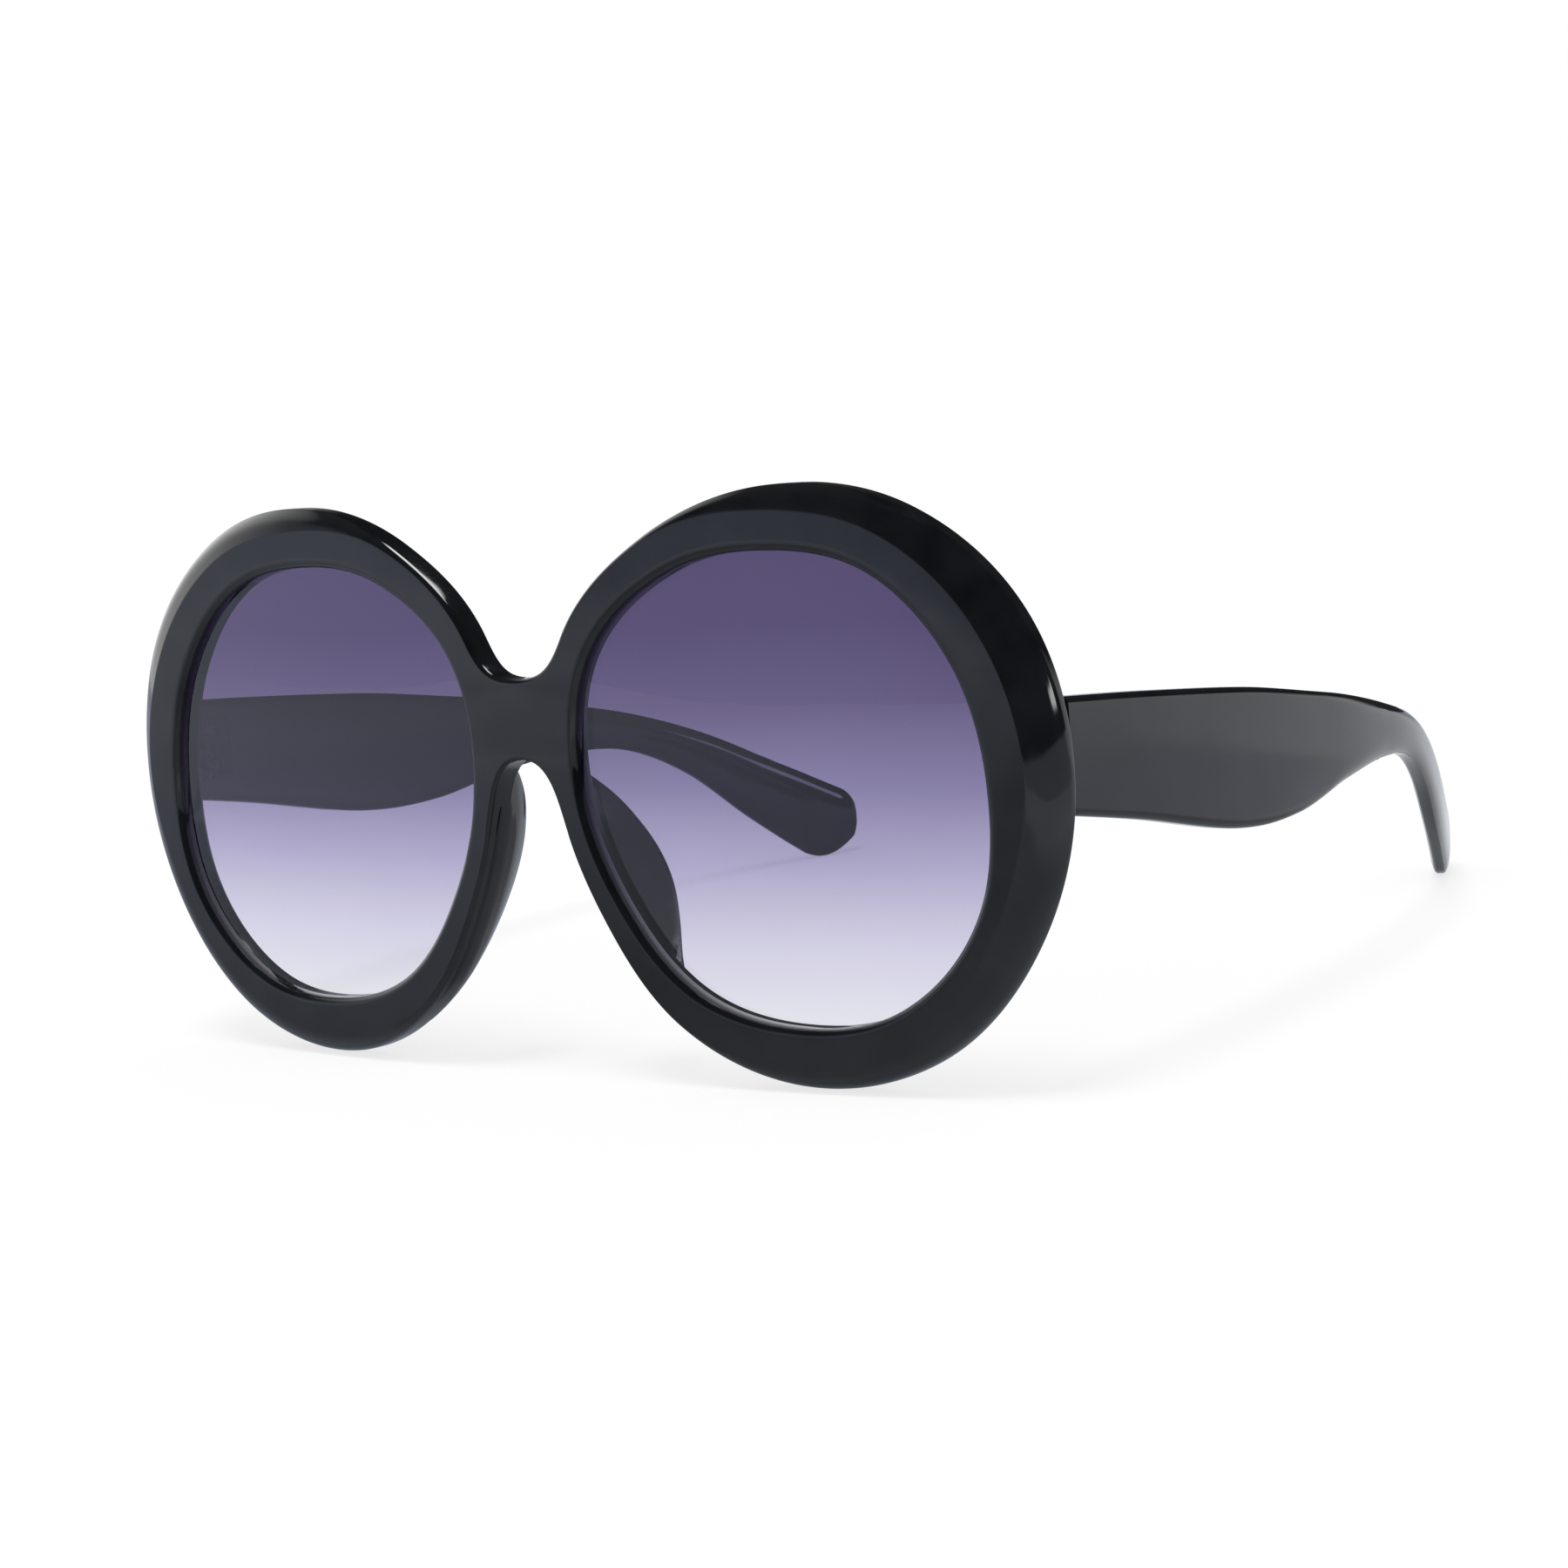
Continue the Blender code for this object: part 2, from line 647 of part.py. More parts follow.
def temple_section(centre, way, depth, thickness, mitre=0.0):
    """A flat section with rounded edges, across the middle line."""
    half = thickness / 2
    rounding = min(TEMPLE_EDGE_ROUND, depth / 3, half)
    corner = [(half - rounding * inset, depth / 2 - rounding * drop) for inset, drop in round_shares]
    ring = [*corner, *((-x, h) for x, h in reversed(corner))]
    ring += [(-x, -h) for x, h in ring]
    across = Vector((-way.y, way.x))
    points = []
    for x, h in ring:
        place = centre + across * h
        points.append(sheet_point(place.x + x * mitre, place.y, x))
    return points


def temple_shape():
    """The temple's body: sections along its middle line, then round its tip."""
    skin = []
    for index in range(STATIONS):
        t = index / (STATIONS - 1)
        centre, depth = temple_line(t)
        thickness = TEMPLE_THICKNESS * (1 - (1 - tip_thickness_share) * t)
        way = line_way(t) if index else Vector((1.0, 0.0))
        mitre = math.tan(back_tilt()) if index == 0 else 0.0
        skin.append(temple_section(centre, way, depth, thickness, mitre))
    for step in range(1, TIP_STEPS + 1):
        angle = math.radians(90) * step / (TIP_STEPS + 0.5)
        place = centre + way * TIP_ROUND * math.sin(angle)
        thin = thickness - TEMPLE_EDGE_ROUND * (1 - math.cos(angle))
        skin.append(temple_section(place, way, depth * math.cos(angle), thin))
    return loft(skin)


def core_shape(radius, start_overrun, end_inset):
    """A round wire, or its channel, along the middle line of the temple."""
    sections = []
    for index in range(STATIONS):
        t = core_reach_share * index / (STATIONS - 1)
        place = temple_line(t)[0]
        if index == 0:
            place.x -= start_overrun
        if index == STATIONS - 1:
            place -= line_way(t) * end_inset
        up = Vector((-line_way(t).y, line_way(t).x))
        ring = []
        for corner in range(CORE_SIDES):
            angle = math.tau * corner / CORE_SIDES
            side = place + up * radius * math.sin(angle)
            ring.append(sheet_point(side.x, side.y, CORE_OFFSET + radius * math.cos(angle)))
        sections.append(ring)
    return loft(sections)


def main():
    clear_scene()
    stand = bpy.data.objects.new("stand", None)
    bpy.context.scene.collection.objects.link(stand)

    acetate = material("black_acetate", (0.008, 0.010, 0.013), 0.09)
    tint = material("tinted_lens", (0.16, 0.11, 0.24), 0.03, transmission=0.6)
    steel = material("hinge_steel", (0.06, 0.06, 0.065), 0.32, metallic=1.0)
    wire = material("core_wire", (0.55, 0.55, 0.56), 0.4, metallic=1.0)

    half_vertices, half_faces = front_half()
    temple_vertices, temple_faces = temple_shape()

    front = add_mesh("front_frame", half_vertices, half_faces, acetate)
    mirror = front.modifiers.new("other_half", "MIRROR")
    mirror.merge_threshold = 0.00001
    front_frame_axes = front_leaf_frame()
    pocket = leaf_box(True, front_frame_axes, LEAF_CLEARANCE, OVERRUN)
    pockets = add_mesh("front_pockets", *pocket, None, helper=True)
    pocket_mirror = pockets.modifiers.new("other_side", "MIRROR")
    pocket_mirror.use_mirror_merge = False
    drills = joined([drill_shape(place) for place in leaf_fixings(True, front_frame_axes)])
    front_drills = add_mesh("front_drills", *drills, None, helper=True)
    drill_mirror = front_drills.modifiers.new("other_side", "MIRROR")
    drill_mirror.use_mirror_merge = False
    boolean(front, pockets, "DIFFERENCE")
    boolean(front, front_drills, "DIFFERENCE")

    for side, mirrored in (("left", False), ("right", True)):
        add_mesh("lens_" + side, *lens_shape(), tint, None, mirrored)
        add_mesh("nose_pad_" + side, *pad_shape(), acetate, None, mirrored)
        add_leaf("hinge_front_leaf_" + side, True, steel, None, mirrored)
        add_screw("hinge_pivot_screw_" + side, pivot_shape(), pivot_frame(), PIVOT_HEAD_RADIUS, steel, None,
                  mirrored)

        pivot = bpy.data.objects.new("temple_" + side + "_pivot", None)
        bpy.context.scene.collection.objects.link(pivot)
        pivot.parent = stand
        axis = hinge_axis()
        pivot.location = (-axis.x if mirrored else axis.x, axis.y, axis.z)

        temple = add_mesh("temple_" + side, temple_vertices, temple_faces, acetate, pivot, mirrored)
        channel = core_shape(CORE_RADIUS + CORE_CLEARANCE, OVERRUN, 0.0)
        channel = add_mesh("channel_" + side, *channel, None, pivot, mirrored, helper=True)
        boolean(temple, channel, "DIFFERENCE")
        temple_frame = temple_leaf_frame()
        pocket = leaf_box(False, temple_frame, LEAF_CLEARANCE, OVERRUN)
        pocket = add_mesh("temple_pocket_" + side, *pocket, None, pivot, mirrored, helper=True)
        boolean(temple, pocket, "DIFFERENCE")
        drills = joined([drill_shape(place) for place in leaf_fixings(False, temple_frame)])
        drills = add_mesh("temple_drills_" + side, *drills, None, pivot, mirrored, helper=True)
        boolean(temple, drills, "DIFFERENCE")

        add_mesh("temple_core_" + side, *core_shape(CORE_RADIUS, 0.0, CORE_CLEARANCE), wire, pivot, mirrored)
        add_leaf("hinge_temple_leaf_" + side, False, steel, pivot, mirrored)
        for of_front, carrier, label in ((True, None, "front"), (False, pivot, "temple")):
            frame = front_leaf_frame() if of_front else temple_leaf_frame()
            for place, height in zip(leaf_fixings(of_front, frame), ("lower", "upper")):
                add_screw(f"{label}_{height}_screw_{side}", screw_shape(place), place, FIXING_HEAD_RADIUS,
                          steel, carrier, mirrored)

    stand_on_rims_and_tips(stand, half_vertices, temple_vertices)


def stand_on_rims_and_tips(stand, front_points, temple_points):
    """Tips the whole part until both rims and both temple tips touch the table, and centres it there."""
    tilt = 0.0
    for _ in range(8):
        turn = Matrix.Rotation(tilt, 3, "X")
        rim = min((turn @ point for point in front_points), key=lambda point: point.z)
        tip = min((turn @ point for point in temple_points), key=lambda point: point.z)
        tilt -= (tip.z - rim.z) / (tip.y - rim.y)
    turn = Matrix.Rotation(tilt, 3, "X")
    turned = [turn @ point for point in (*front_points, *temple_points)]
    low = min(point.z for point in turned)
    near = min(point.y for point in turned)
    far = max(point.y for point in turned)
    stand.rotation_euler = (tilt, 0.0, 0.0)
    stand.location = (0.0, -(near + far) / 2, -low)
    bpy.context.view_layer.update()
    for side in ("left", "right"):
        pivot = bpy.data.objects["temple_" + side + "_pivot"].matrix_world
        print(side, "hinge at", tuple(round(value, 6) for value in pivot.translation),
              "axis", tuple(round(value, 5) for value in pivot.to_3x3() @ Vector((0, 0, 1))))
    print("lean of the front", round(math.degrees(tilt), 3), "degrees")


main()
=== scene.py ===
"""Oversized round sunglasses on a white table, seen from the front and the wearer's left.

Lengths are metres and +Z is up. The wearer looks towards -Y, and the wearer's left is +X.
Outlines are drawn on the front's own plane: u runs out from the nose, v runs up from the lens centre
and d runs back from the front face. bend() curls that plane round the nose into space.
"""

import math

import bmesh
import bpy
from mathutils import Matrix, Vector
from mathutils.geometry import interpolate_bezier
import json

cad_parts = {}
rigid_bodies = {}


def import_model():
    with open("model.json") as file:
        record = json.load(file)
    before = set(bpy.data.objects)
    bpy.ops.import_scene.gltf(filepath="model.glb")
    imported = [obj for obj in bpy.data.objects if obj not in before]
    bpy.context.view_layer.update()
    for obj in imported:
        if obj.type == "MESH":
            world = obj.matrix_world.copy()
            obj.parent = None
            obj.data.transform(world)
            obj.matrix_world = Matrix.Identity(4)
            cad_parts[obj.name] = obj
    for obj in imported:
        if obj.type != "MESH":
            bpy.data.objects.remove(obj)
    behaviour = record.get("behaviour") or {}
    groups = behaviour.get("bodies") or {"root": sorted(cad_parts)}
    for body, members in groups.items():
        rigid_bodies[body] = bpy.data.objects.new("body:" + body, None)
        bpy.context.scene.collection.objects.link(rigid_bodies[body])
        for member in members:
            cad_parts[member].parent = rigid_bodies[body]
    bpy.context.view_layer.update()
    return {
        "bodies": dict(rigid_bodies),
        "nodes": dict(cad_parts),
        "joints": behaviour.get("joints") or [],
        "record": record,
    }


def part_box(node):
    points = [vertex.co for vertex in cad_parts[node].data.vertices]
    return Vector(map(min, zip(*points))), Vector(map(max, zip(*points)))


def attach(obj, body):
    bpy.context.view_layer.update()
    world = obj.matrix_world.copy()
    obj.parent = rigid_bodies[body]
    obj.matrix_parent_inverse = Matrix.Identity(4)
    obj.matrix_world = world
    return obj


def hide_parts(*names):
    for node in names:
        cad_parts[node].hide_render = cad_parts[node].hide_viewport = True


# Front
LENS_CENTRE_U = 0.03815
OPENING_RADIUS = 0.0289
RIM_WIDTH = 0.0075
NOSE_THICKNESS = 0.0036
HINGE_THICKNESS = 0.0052
EDGE_ROUND = 0.0004
INNER_ROUND = 0.0009
CREST_ROUND = 0.00016
BRIDGE_TOP = 0.0133
BRIDGE_BOTTOM = 0.0034
NOTCH_FILLET = 0.0042
ARCH_FILLET = 0.0046
BEND_HALF = 0.007
wrap_angle = math.radians(3.47)
outline_step = math.radians(0.5)

# A flat face starts at support_share times the rounding beside it. A crest is rounded over at most
# crest_limit_share of its bevel, whose slope is read over slope_step_share of its profile.
support_share = 1.5
crest_limit_share = 0.3
slope_step_share = 0.02

# The bevel's swell in equal steps from the flat face to its foot: how far in from the foot, and how deep.
bevel_inset_shares = (1.0, 0.5, 0.2, 0.0)
bevel_drop_shares = (0.0, 0.24, 0.58, 1.0)

# The clock of the lens: twelve places in equal steps, from the hinge side up over the brow to the nose.
opening_radius_shares = (0.99, 0.99, 0.99, 0.96, 1.01, 1.07, 1.01, 0.96, 0.98, 0.98, 1.03, 1.04)
rim_width_shares = (1.19, 1.29, 1.12, 1.00, 0.72, 0.61, 0.48, 0.50, 0.69, 0.99, 0.94, 0.90)
flat_face_shares = (0.60, 0.57, 0.58, 0.63, 0.86, 0.87, 0.86, 0.85, 0.85, 0.64, 0.50, 0.43)
bevel_depth_shares = (0.80, 0.60, 0.50, 0.47, 0.25, 0.16, 0.16, 0.18, 0.32, 0.70, 0.82, 0.86)
soft_shoulder_shares = (0.1, 0.0, 0.0, 0.0, 0.7, 1.0, 1.0, 1.0, 1.0, 1.0, 1.0, 0.9)

# Where the rim's outline leaves for the bridge, and where the lens opening lies beside the bridge.
notch_angle = math.radians(149)
arch_angle = math.radians(191)
beside_top_angle = math.radians(159)
beside_bottom_angle = math.radians(173)

# Lenses
LENS_THICKNESS = 0.0016
LENS_DOME = 0.0009
GROOVE_SETBACK = 0.0011
GROOVE_DEPTH = 0.0014
LENS_CLEARANCE = 0.00025

# Nose pads
PAD_HEIGHT = 0.0077
PAD_FLARE = 0.0054
PAD_GLUE_LINE = 0.0002
PAD_EDGE = 0.0005
PAD_END_HEIGHT = 0.00015
PAD_END_SINK = 0.0004
PAD_LEAN_OVER = 0.0002
SKIRT_STANDOFF = 0.00012
skirt_reach_share = 0.75
pad_top_angle = math.radians(174)
pad_bottom_angle = math.radians(246)
pad_swell_shares = (0.0, 0.57, 0.85, 0.95, 0.90, 0.71, 0.42, 0.17, 0.0)

# The pad's ends sink into the rim where its swell times this rate is under 1.
pad_settling_rate = 3

# The pad's section from its nose side over the crest to the lens side, as shares of flare, lean and height.
pad_profile_shares = (
    (0.0, 0.0, 0.0), (0.15, 0.0, 0.35), (0.55, 0.0, 0.78),
    (0.85, 0.0, 0.96), (0.85, 0.5, 1.0), (0.85, 1.0, 0.9),
)

# Hinges
HINGE_INSET = 0.0062
HINGE_V = 0.0028
HINGE_STANDOFF = 0.0020
BARREL_COUNT = 5
BARREL_RADIUS = 0.0015
BARREL_HEIGHT = 0.00135
BARREL_GAP = 0.0002
LEAF_THICKNESS = 0.0008
LEAF_BORDER = 0.0002
LEAF_CLEARANCE = 0.00015
FRONT_LEAF_OUTER = 0.0042
TEMPLE_LEAF_AFT = 0.0076
neck_width_share = 0.7

# Temples
TEMPLE_LENGTH = 0.1234
TEMPLE_DEPTH = 0.0127
TEMPLE_THICKNESS = 0.0038
TEMPLE_END_GAP = 0.00025
TEMPLE_CURL = 0.0201
TEMPLE_EDGE_ROUND = 0.0010
TIP_REACH = 0.0052
tip_thickness_share = 0.75
tip_end_share = 0.5

# The edges are rounded taller towards the tip: from one share of the line, over another, and never by more
# than the depth over a ratio.
CROWN_HEIGHT = 0.0046
crown_start_share = 0.4
crown_run_share = 0.3
crown_depth_ratio = 2.4

# Side view of the temple at places along its middle line: how far back, as a share of its length, how high
# above the hinge's middle and how deep across, as shares of its depth at the hinge.
temple_line_shares = (
    (0.000, 0.03, 1.05), (0.127, -0.12, 1.17), (0.286, -0.34, 1.33), (0.397, -0.42, 1.21),
    (0.508, -0.41, 0.87), (0.619, -0.47, 0.57), (0.714, -0.63, 0.44), (0.802, -1.00, 0.53),
    (0.889, -1.57, 0.76), (0.960, -2.03, 0.90),
)

# The inward curl of the sheet in equal steps of its length.
temple_curl_shares = (0.0, -0.03, -0.03, 0.01, 0.10, 0.28, 0.60, 1.0)

# Wire channels
CORE_RADIUS = 0.00055
CORE_CLEARANCE = 0.0002
CORE_OFFSET = 0.0003
core_reach_share = 0.62

# How far a cutter runs past the face that it opens, and how near two points are to be one
OVERRUN = 0.0010
MERGE_DISTANCE = 0.0000005

# Fineness
LINE_STEPS = 68
CURL_STEPS = 34
STATIONS = 120
TIP_STEPS = 16
CORE_SIDES = 12
ARC_COLUMNS = 240
FILLET_COLUMNS = 16
BRIDGE_COLUMNS = 6
BEVEL_STEPS = 12
ROUND_STEPS = 6
CREST_STEPS = 4
LENS_COLUMNS = 240
LENS_RINGS = 12
PAD_STATIONS = 48
PAD_STEPS = 5
SMOOTH_ANGLE = math.radians(28)

# Camera, about the middle of the hinge line
CAMERA_DISTANCE = 0.4488
CAMERA_ASIDE = 0.0305
CAMERA_RISE = 0.0028
CAMERA_BACK = 0.0022
CAMERA_DROP = -0.0026
camera_azimuth = math.radians(39.0)
camera_elevation = math.radians(6.30)
camera_roll = math.radians(-4.29)
CLIP_START = 0.01
CLIP_END = 60.0
SENSOR_MM = 36.0
LENS_MM = 83.86

# Looks: the range that noise is read over, and the lens's tint by height from the cheek to the brow
NOISE_LOW = 0.3
NOISE_HIGH = 0.7
WHITE = (1.0, 1.0, 1.0, 1.0)
refraction = 1.5
tint_drift_share = 0.03
tint_stops = (
    (0.02, (0.83, 0.83, 0.885)), (0.20, (0.66, 0.64, 0.79)), (0.36, (0.43, 0.40, 0.595)),
    (0.52, (0.235, 0.205, 0.375)), (0.68, (0.125, 0.098, 0.215)), (0.85, (0.085, 0.062, 0.155)),
    (1.00, (0.080, 0.058, 0.145)),
)

# Light and table
FLOOR_HALF = 12.0
FLOOR_SHOWN = 1.0
floor_own_share = 0.76
ambient_level = 0.62
sun_level = 1.5
sun_tilt = math.radians(8)
sun_softness = math.radians(22)

# The room that the gloss shows: wall colours by azimuth in degrees from the front, towards the wearer's left,
# then the ceiling's shade by height, and panels as azimuth, elevation, outer and inner half width and shade.
wall_colours = (
    (-180, (0.04, 0.04, 0.04)), (-138, (0.04, 0.04, 0.04)), (-126, (1.0, 1.0, 1.0)),
    (-80, (1.0, 1.0, 1.0)), (-55, (0.68, 0.75, 0.93)), (-40, (0.53, 0.60, 0.78)),
    (-32, (0.53, 0.60, 0.79)), (-27, (0.46, 0.52, 0.68)), (-18, (0.02, 0.02, 0.025)),
    (133, (0.02, 0.02, 0.025)), (138, (1.0, 1.0, 1.0)), (172, (1.0, 1.0, 1.0)),
    (178, (0.04, 0.04, 0.04)),
)
ceiling_shades = ((0.12, (1.0, 1.0, 1.0)), (0.32, (0.6, 0.6, 0.6)), (0.50, (0.06, 0.06, 0.06)))
room_panels = (
    (165, 38, 34, 26, 0.03), (-178, 60, 15, 12, 10.0), (-95, 14, 34, 12, 1.7), (106, 12, 5, 3, 8.0),
)

# Painted reflections: the table as the gloss shows it, in painted colours by x in metres, painted shades by
# azimuth, and a painted darker pool beside the temple with its edges towards the temple, away from it and
# behind, each from clear to full, and its colour.
table_reflection_colours = (
    (-1.0, (0.68, 0.75, 0.93)), (-0.3, (0.43, 0.50, 0.66)),
    (-0.05, (0.20, 0.25, 0.34)), (0.05, (0.90, 0.94, 1.0)),
)
table_reflection_shades = (
    (-180, (1.0, 1.0, 1.0)), (-30, (1.0, 1.0, 1.0)), (-15, (0.3, 0.33, 0.36)),
    (112, (0.3, 0.33, 0.36)), (126, (1.0, 1.0, 1.0)),
)
reflection_pool_near = (0.112, 0.138)
reflection_pool_far = (0.226, 0.219)
reflection_pool_end = (0.158, 0.152)
reflection_pool_colour = (0.64, 0.65, 0.80)


def between(a, b, c, e, t):
    """A smooth curve through four values, read from the second at t = 0 to the third at t = 1."""
    return b + 0.5 * t * (c - a + t * (2 * a - 5 * b + 4 * c - e + t * (3 * (b - c) + e - a)))


def around(shares, angle):
    """A smooth closed curve through equally spaced shares, read at an angle."""
    count = len(shares)
    place = (angle / math.tau * count) % count
    first = int(place)
    return between(*(shares[(first + step) % count] for step in (-1, 0, 1, 2)), place - first)


def along(values, t):
    """A smooth open curve through equally spaced values, read at t from 0 to 1."""
    last = len(values) - 1
    place = min(max(t, 0.0), 1.0) * last
    first = min(int(place), last - 1)
    b, c = values[first], values[first + 1]
    a = values[first - 1] if first else 2 * b - c
    e = values[first + 2] if first + 2 <= last else 2 * c - b
    return between(a, b, c, e, place - first)


def quarter_round():
    """A rounded edge as (inset, drop) from its corner."""
    steps = [math.radians(90) * index / ROUND_STEPS for index in range(ROUND_STEPS + 1)]
    return [(1 - math.cos(angle), 1 - math.sin(angle)) for angle in steps]


# The front's plane

def bend(u, v, d):
    """A point of the front's plane in space: an arc across the nose, then straight to the hinge."""
    radius = BEND_HALF / wrap_angle
    turn = min(u, BEND_HALF) / radius
    beyond = max(u - BEND_HALF, 0.0)
    x = radius * math.sin(turn) + beyond * math.cos(turn)
    y = radius * (1 - math.cos(turn)) + beyond * math.sin(turn)
    return Vector((x - d * math.sin(turn), y + d * math.cos(turn), v))


def thickness_at(u):
    """The front's thickness, which grows from the nose to the hinge."""
    return NOSE_THICKNESS + (HINGE_THICKNESS - NOSE_THICKNESS) * u / hinge_u()


def back_tilt():
    """The angle of the front's flat back at the hinge."""
    return wrap_angle + math.atan((HINGE_THICKNESS - NOSE_THICKNESS) / hinge_u())


def hinge_u():
    return rim_point(0.0).x - HINGE_INSET


def opening_radius(angle):
    return OPENING_RADIUS * around(opening_radius_shares, angle)


def rim_width(angle):
    return RIM_WIDTH * around(rim_width_shares, angle)


def bevel_width(angle):
    return rim_width(angle) * (1 - around(flat_face_shares, angle))


def bevel_depth(u, angle):
    return thickness_at(u) * around(bevel_depth_shares, angle)


def lens_point(radius, angle):
    """A place in u and v, round the lens centre."""
    return Vector((LENS_CENTRE_U + radius * math.cos(angle), radius * math.sin(angle)))


def rim_point(angle):
    """A place on the rim's outline."""
    return lens_point(opening_radius(angle) + rim_width(angle), angle)


def rim_direction(angle):
    """The way along the rim's outline, for a growing angle."""
    return (rim_point(angle + outline_step) - rim_point(angle - outline_step)).normalized()


def fillet(start, start_way, end, end_way, size, count):
    """Points of a smooth corner between two places on the outline, without its first point."""
    corner = (start, start + start_way * size, end - end_way * size, end)
    points = interpolate_bezier(*(p.to_3d() for p in corner), count + 1)
    return [p.to_2d() for p in points[1:]]


def bevel_profile(soft, crest):
    """The bevel as (inset, depth) shares from the flat face to its foot. A soft one has no crest line."""
    first_drop = along(bevel_drop_shares, slope_step_share) - along(bevel_drop_shares, 0.0)
    first_run = along(bevel_inset_shares, 0.0) - along(bevel_inset_shares, slope_step_share)
    slope = first_drop / first_run
    points = []
    for index in range(CREST_STEPS):
        run = crest * (2 * index / CREST_STEPS - 1)
        points.append((1 - run, slope * (run + crest) ** 2 / (4 * crest) * (1 - soft)))
    for index in range(BEVEL_STEPS + 1):
        t = index / BEVEL_STEPS
        angle = math.radians(90) * t
        inset, drop = along(bevel_inset_shares, t), along(bevel_drop_shares, t)
        round_inset, round_drop = 1 - math.sin(angle), 1 - math.cos(angle)
        if index == 0:
            inset, drop = 1 - crest, slope * crest
            round_inset, round_drop = 1 - crest, 0.0
        points.append((inset + (round_inset - inset) * soft, drop + (round_drop - drop) * soft))
    return points


class Column:
    """One section of the front, from the lens opening out to the outline."""

    def __init__(self, outer, normal, angle, bevel, on_bridge=False):
        self.outer = outer
        self.normal = normal
        self.angle = angle
        self.bevel = bevel
        self.on_bridge = on_bridge

    def points(self):
        """The section as (u, v, d): outer edge from front to back, then the lens side from back to front.

        The opening's wall closes on the lens, which hides the groove.
        """
        depth = 0.0 if self.on_bridge else bevel_depth(self.outer.x, self.angle)
        rounding = 0.0 if self.on_bridge else EDGE_ROUND
        soft = min(max(around(soft_shoulder_shares, self.angle), 0.0), 1.0)
        crest = min(CREST_ROUND / self.bevel, crest_limit_share) if self.bevel else crest_limit_share
        lens_middle = GROOVE_SETBACK + LENS_CLEARANCE + LENS_THICKNESS / 2
        points = []
        for inset, deep in bevel_profile(soft, crest):
            place = self.outer - self.normal * self.bevel * inset
            points.append((place.x, place.y, depth * deep))
        for inset, drop in quarter_round():
            place = self.outer - self.normal * rounding * inset
            points.append((place.x, place.y, thickness_at(place.x) - rounding * drop))
        place = self.outer - self.normal * rounding * support_share
        points.append((place.x, place.y, thickness_at(place.x)))
        radius = opening_radius(self.angle)
        place = lens_point(radius + EDGE_ROUND * support_share, self.angle)
        points.append((place.x, place.y, thickness_at(place.x)))
        for out, drop in reversed(quarter_round()):
            place = lens_point(radius + EDGE_ROUND * out, self.angle)
            points.append((place.x, place.y, thickness_at(place.x) - EDGE_ROUND * drop))
        points.append((*lens_point(radius, self.angle), lens_middle))
        for out, drop in quarter_round():
            points.append((*lens_point(radius + INNER_ROUND * out, self.angle), INNER_ROUND * drop))
        points.append((*lens_point(radius + INNER_ROUND * support_share, self.angle), 0.0))
        return points


def front_columns():
    """Sections in order round one rim: up over the brow, along the notch, the bridge and the arch."""
    columns = []
    start = arch_angle - math.tau
    for index in range(ARC_COLUMNS + 1):
        angle = start + (notch_angle - start) * index / ARC_COLUMNS
        way = rim_direction(angle)
        columns.append(Column(rim_point(angle), Vector((way.y, -way.x)), angle, bevel_width(angle)))
    edge = bevel_width(notch_angle)
    notch = fillet(rim_point(notch_angle), rim_direction(notch_angle), Vector((0.0, BRIDGE_TOP)),
                   Vector((-1.0, 0.0)), NOTCH_FILLET, FILLET_COLUMNS)
    arch = fillet(Vector((0.0, BRIDGE_BOTTOM)), Vector((1.0, 0.0)), rim_point(arch_angle),
                  rim_direction(arch_angle), ARCH_FILLET, FILLET_COLUMNS)
    notch[-1].x = 0.0
    add_fillet(columns, rim_point(notch_angle), notch, notch_angle, beside_top_angle, edge)
    for index in range(1, BRIDGE_COLUMNS + 1):
        share = index / (BRIDGE_COLUMNS + 1)
        height = BRIDGE_TOP - edge + (BRIDGE_BOTTOM - BRIDGE_TOP + 2 * edge) * share
        angle = beside_top_angle + (beside_bottom_angle - beside_top_angle) * share
        columns.append(Column(Vector((0.0, height)), Vector((0.0, 0.0)), angle, 0.0, on_bridge=True))
    first = Vector((0.0, BRIDGE_BOTTOM))
    columns.append(Column(first, Vector((0.0, -1.0)), beside_bottom_angle, edge))
    add_fillet(columns, first, arch[:-1], beside_bottom_angle, arch_angle, edge, len(arch))
    return columns


def add_fillet(columns, start, points, first_angle, last_angle, edge, steps=None):
    """Sections at a fillet's points, each with the normal of the curve there."""
    steps = steps or len(points)
    path = [start, *points]
    for index in range(1, len(path)):
        after = path[min(index + 1, len(path) - 1)]
        way = (after - path[index - 1]).normalized()
        normal = Vector((way.y, -way.x))
        if path[index].x == 0.0:
            normal = Vector((0.0, 1.0))
        angle = first_angle + (last_angle - first_angle) * index / steps
        columns.append(Column(path[index], normal, angle, edge))


def front_half():
    """Vertices and faces of the half at +X, open where it meets the other half on the bridge."""
    columns = front_columns()
    sections = [column.points() for column in columns]
    size = len(sections[0])
    bridge = [index for index, column in enumerate(columns) if column.on_bridge]
    cut_strips = set(range(bridge[0] - 1, bridge[-1] + 1))
    outside_faces = CREST_STEPS + BEVEL_STEPS + 1 + ROUND_STEPS + 1
    vertices = [bend(*point) for section in sections for point in section]
    faces = []
    for i in range(len(sections)):
        after = (i + 1) % len(sections)
        for j in range(size):
            if i in cut_strips and j < outside_faces:
                continue
            k = (j + 1) % size
            faces.append((i * size + j, i * size + k, after * size + k, after * size + j))
    return vertices, faces


# Shapes

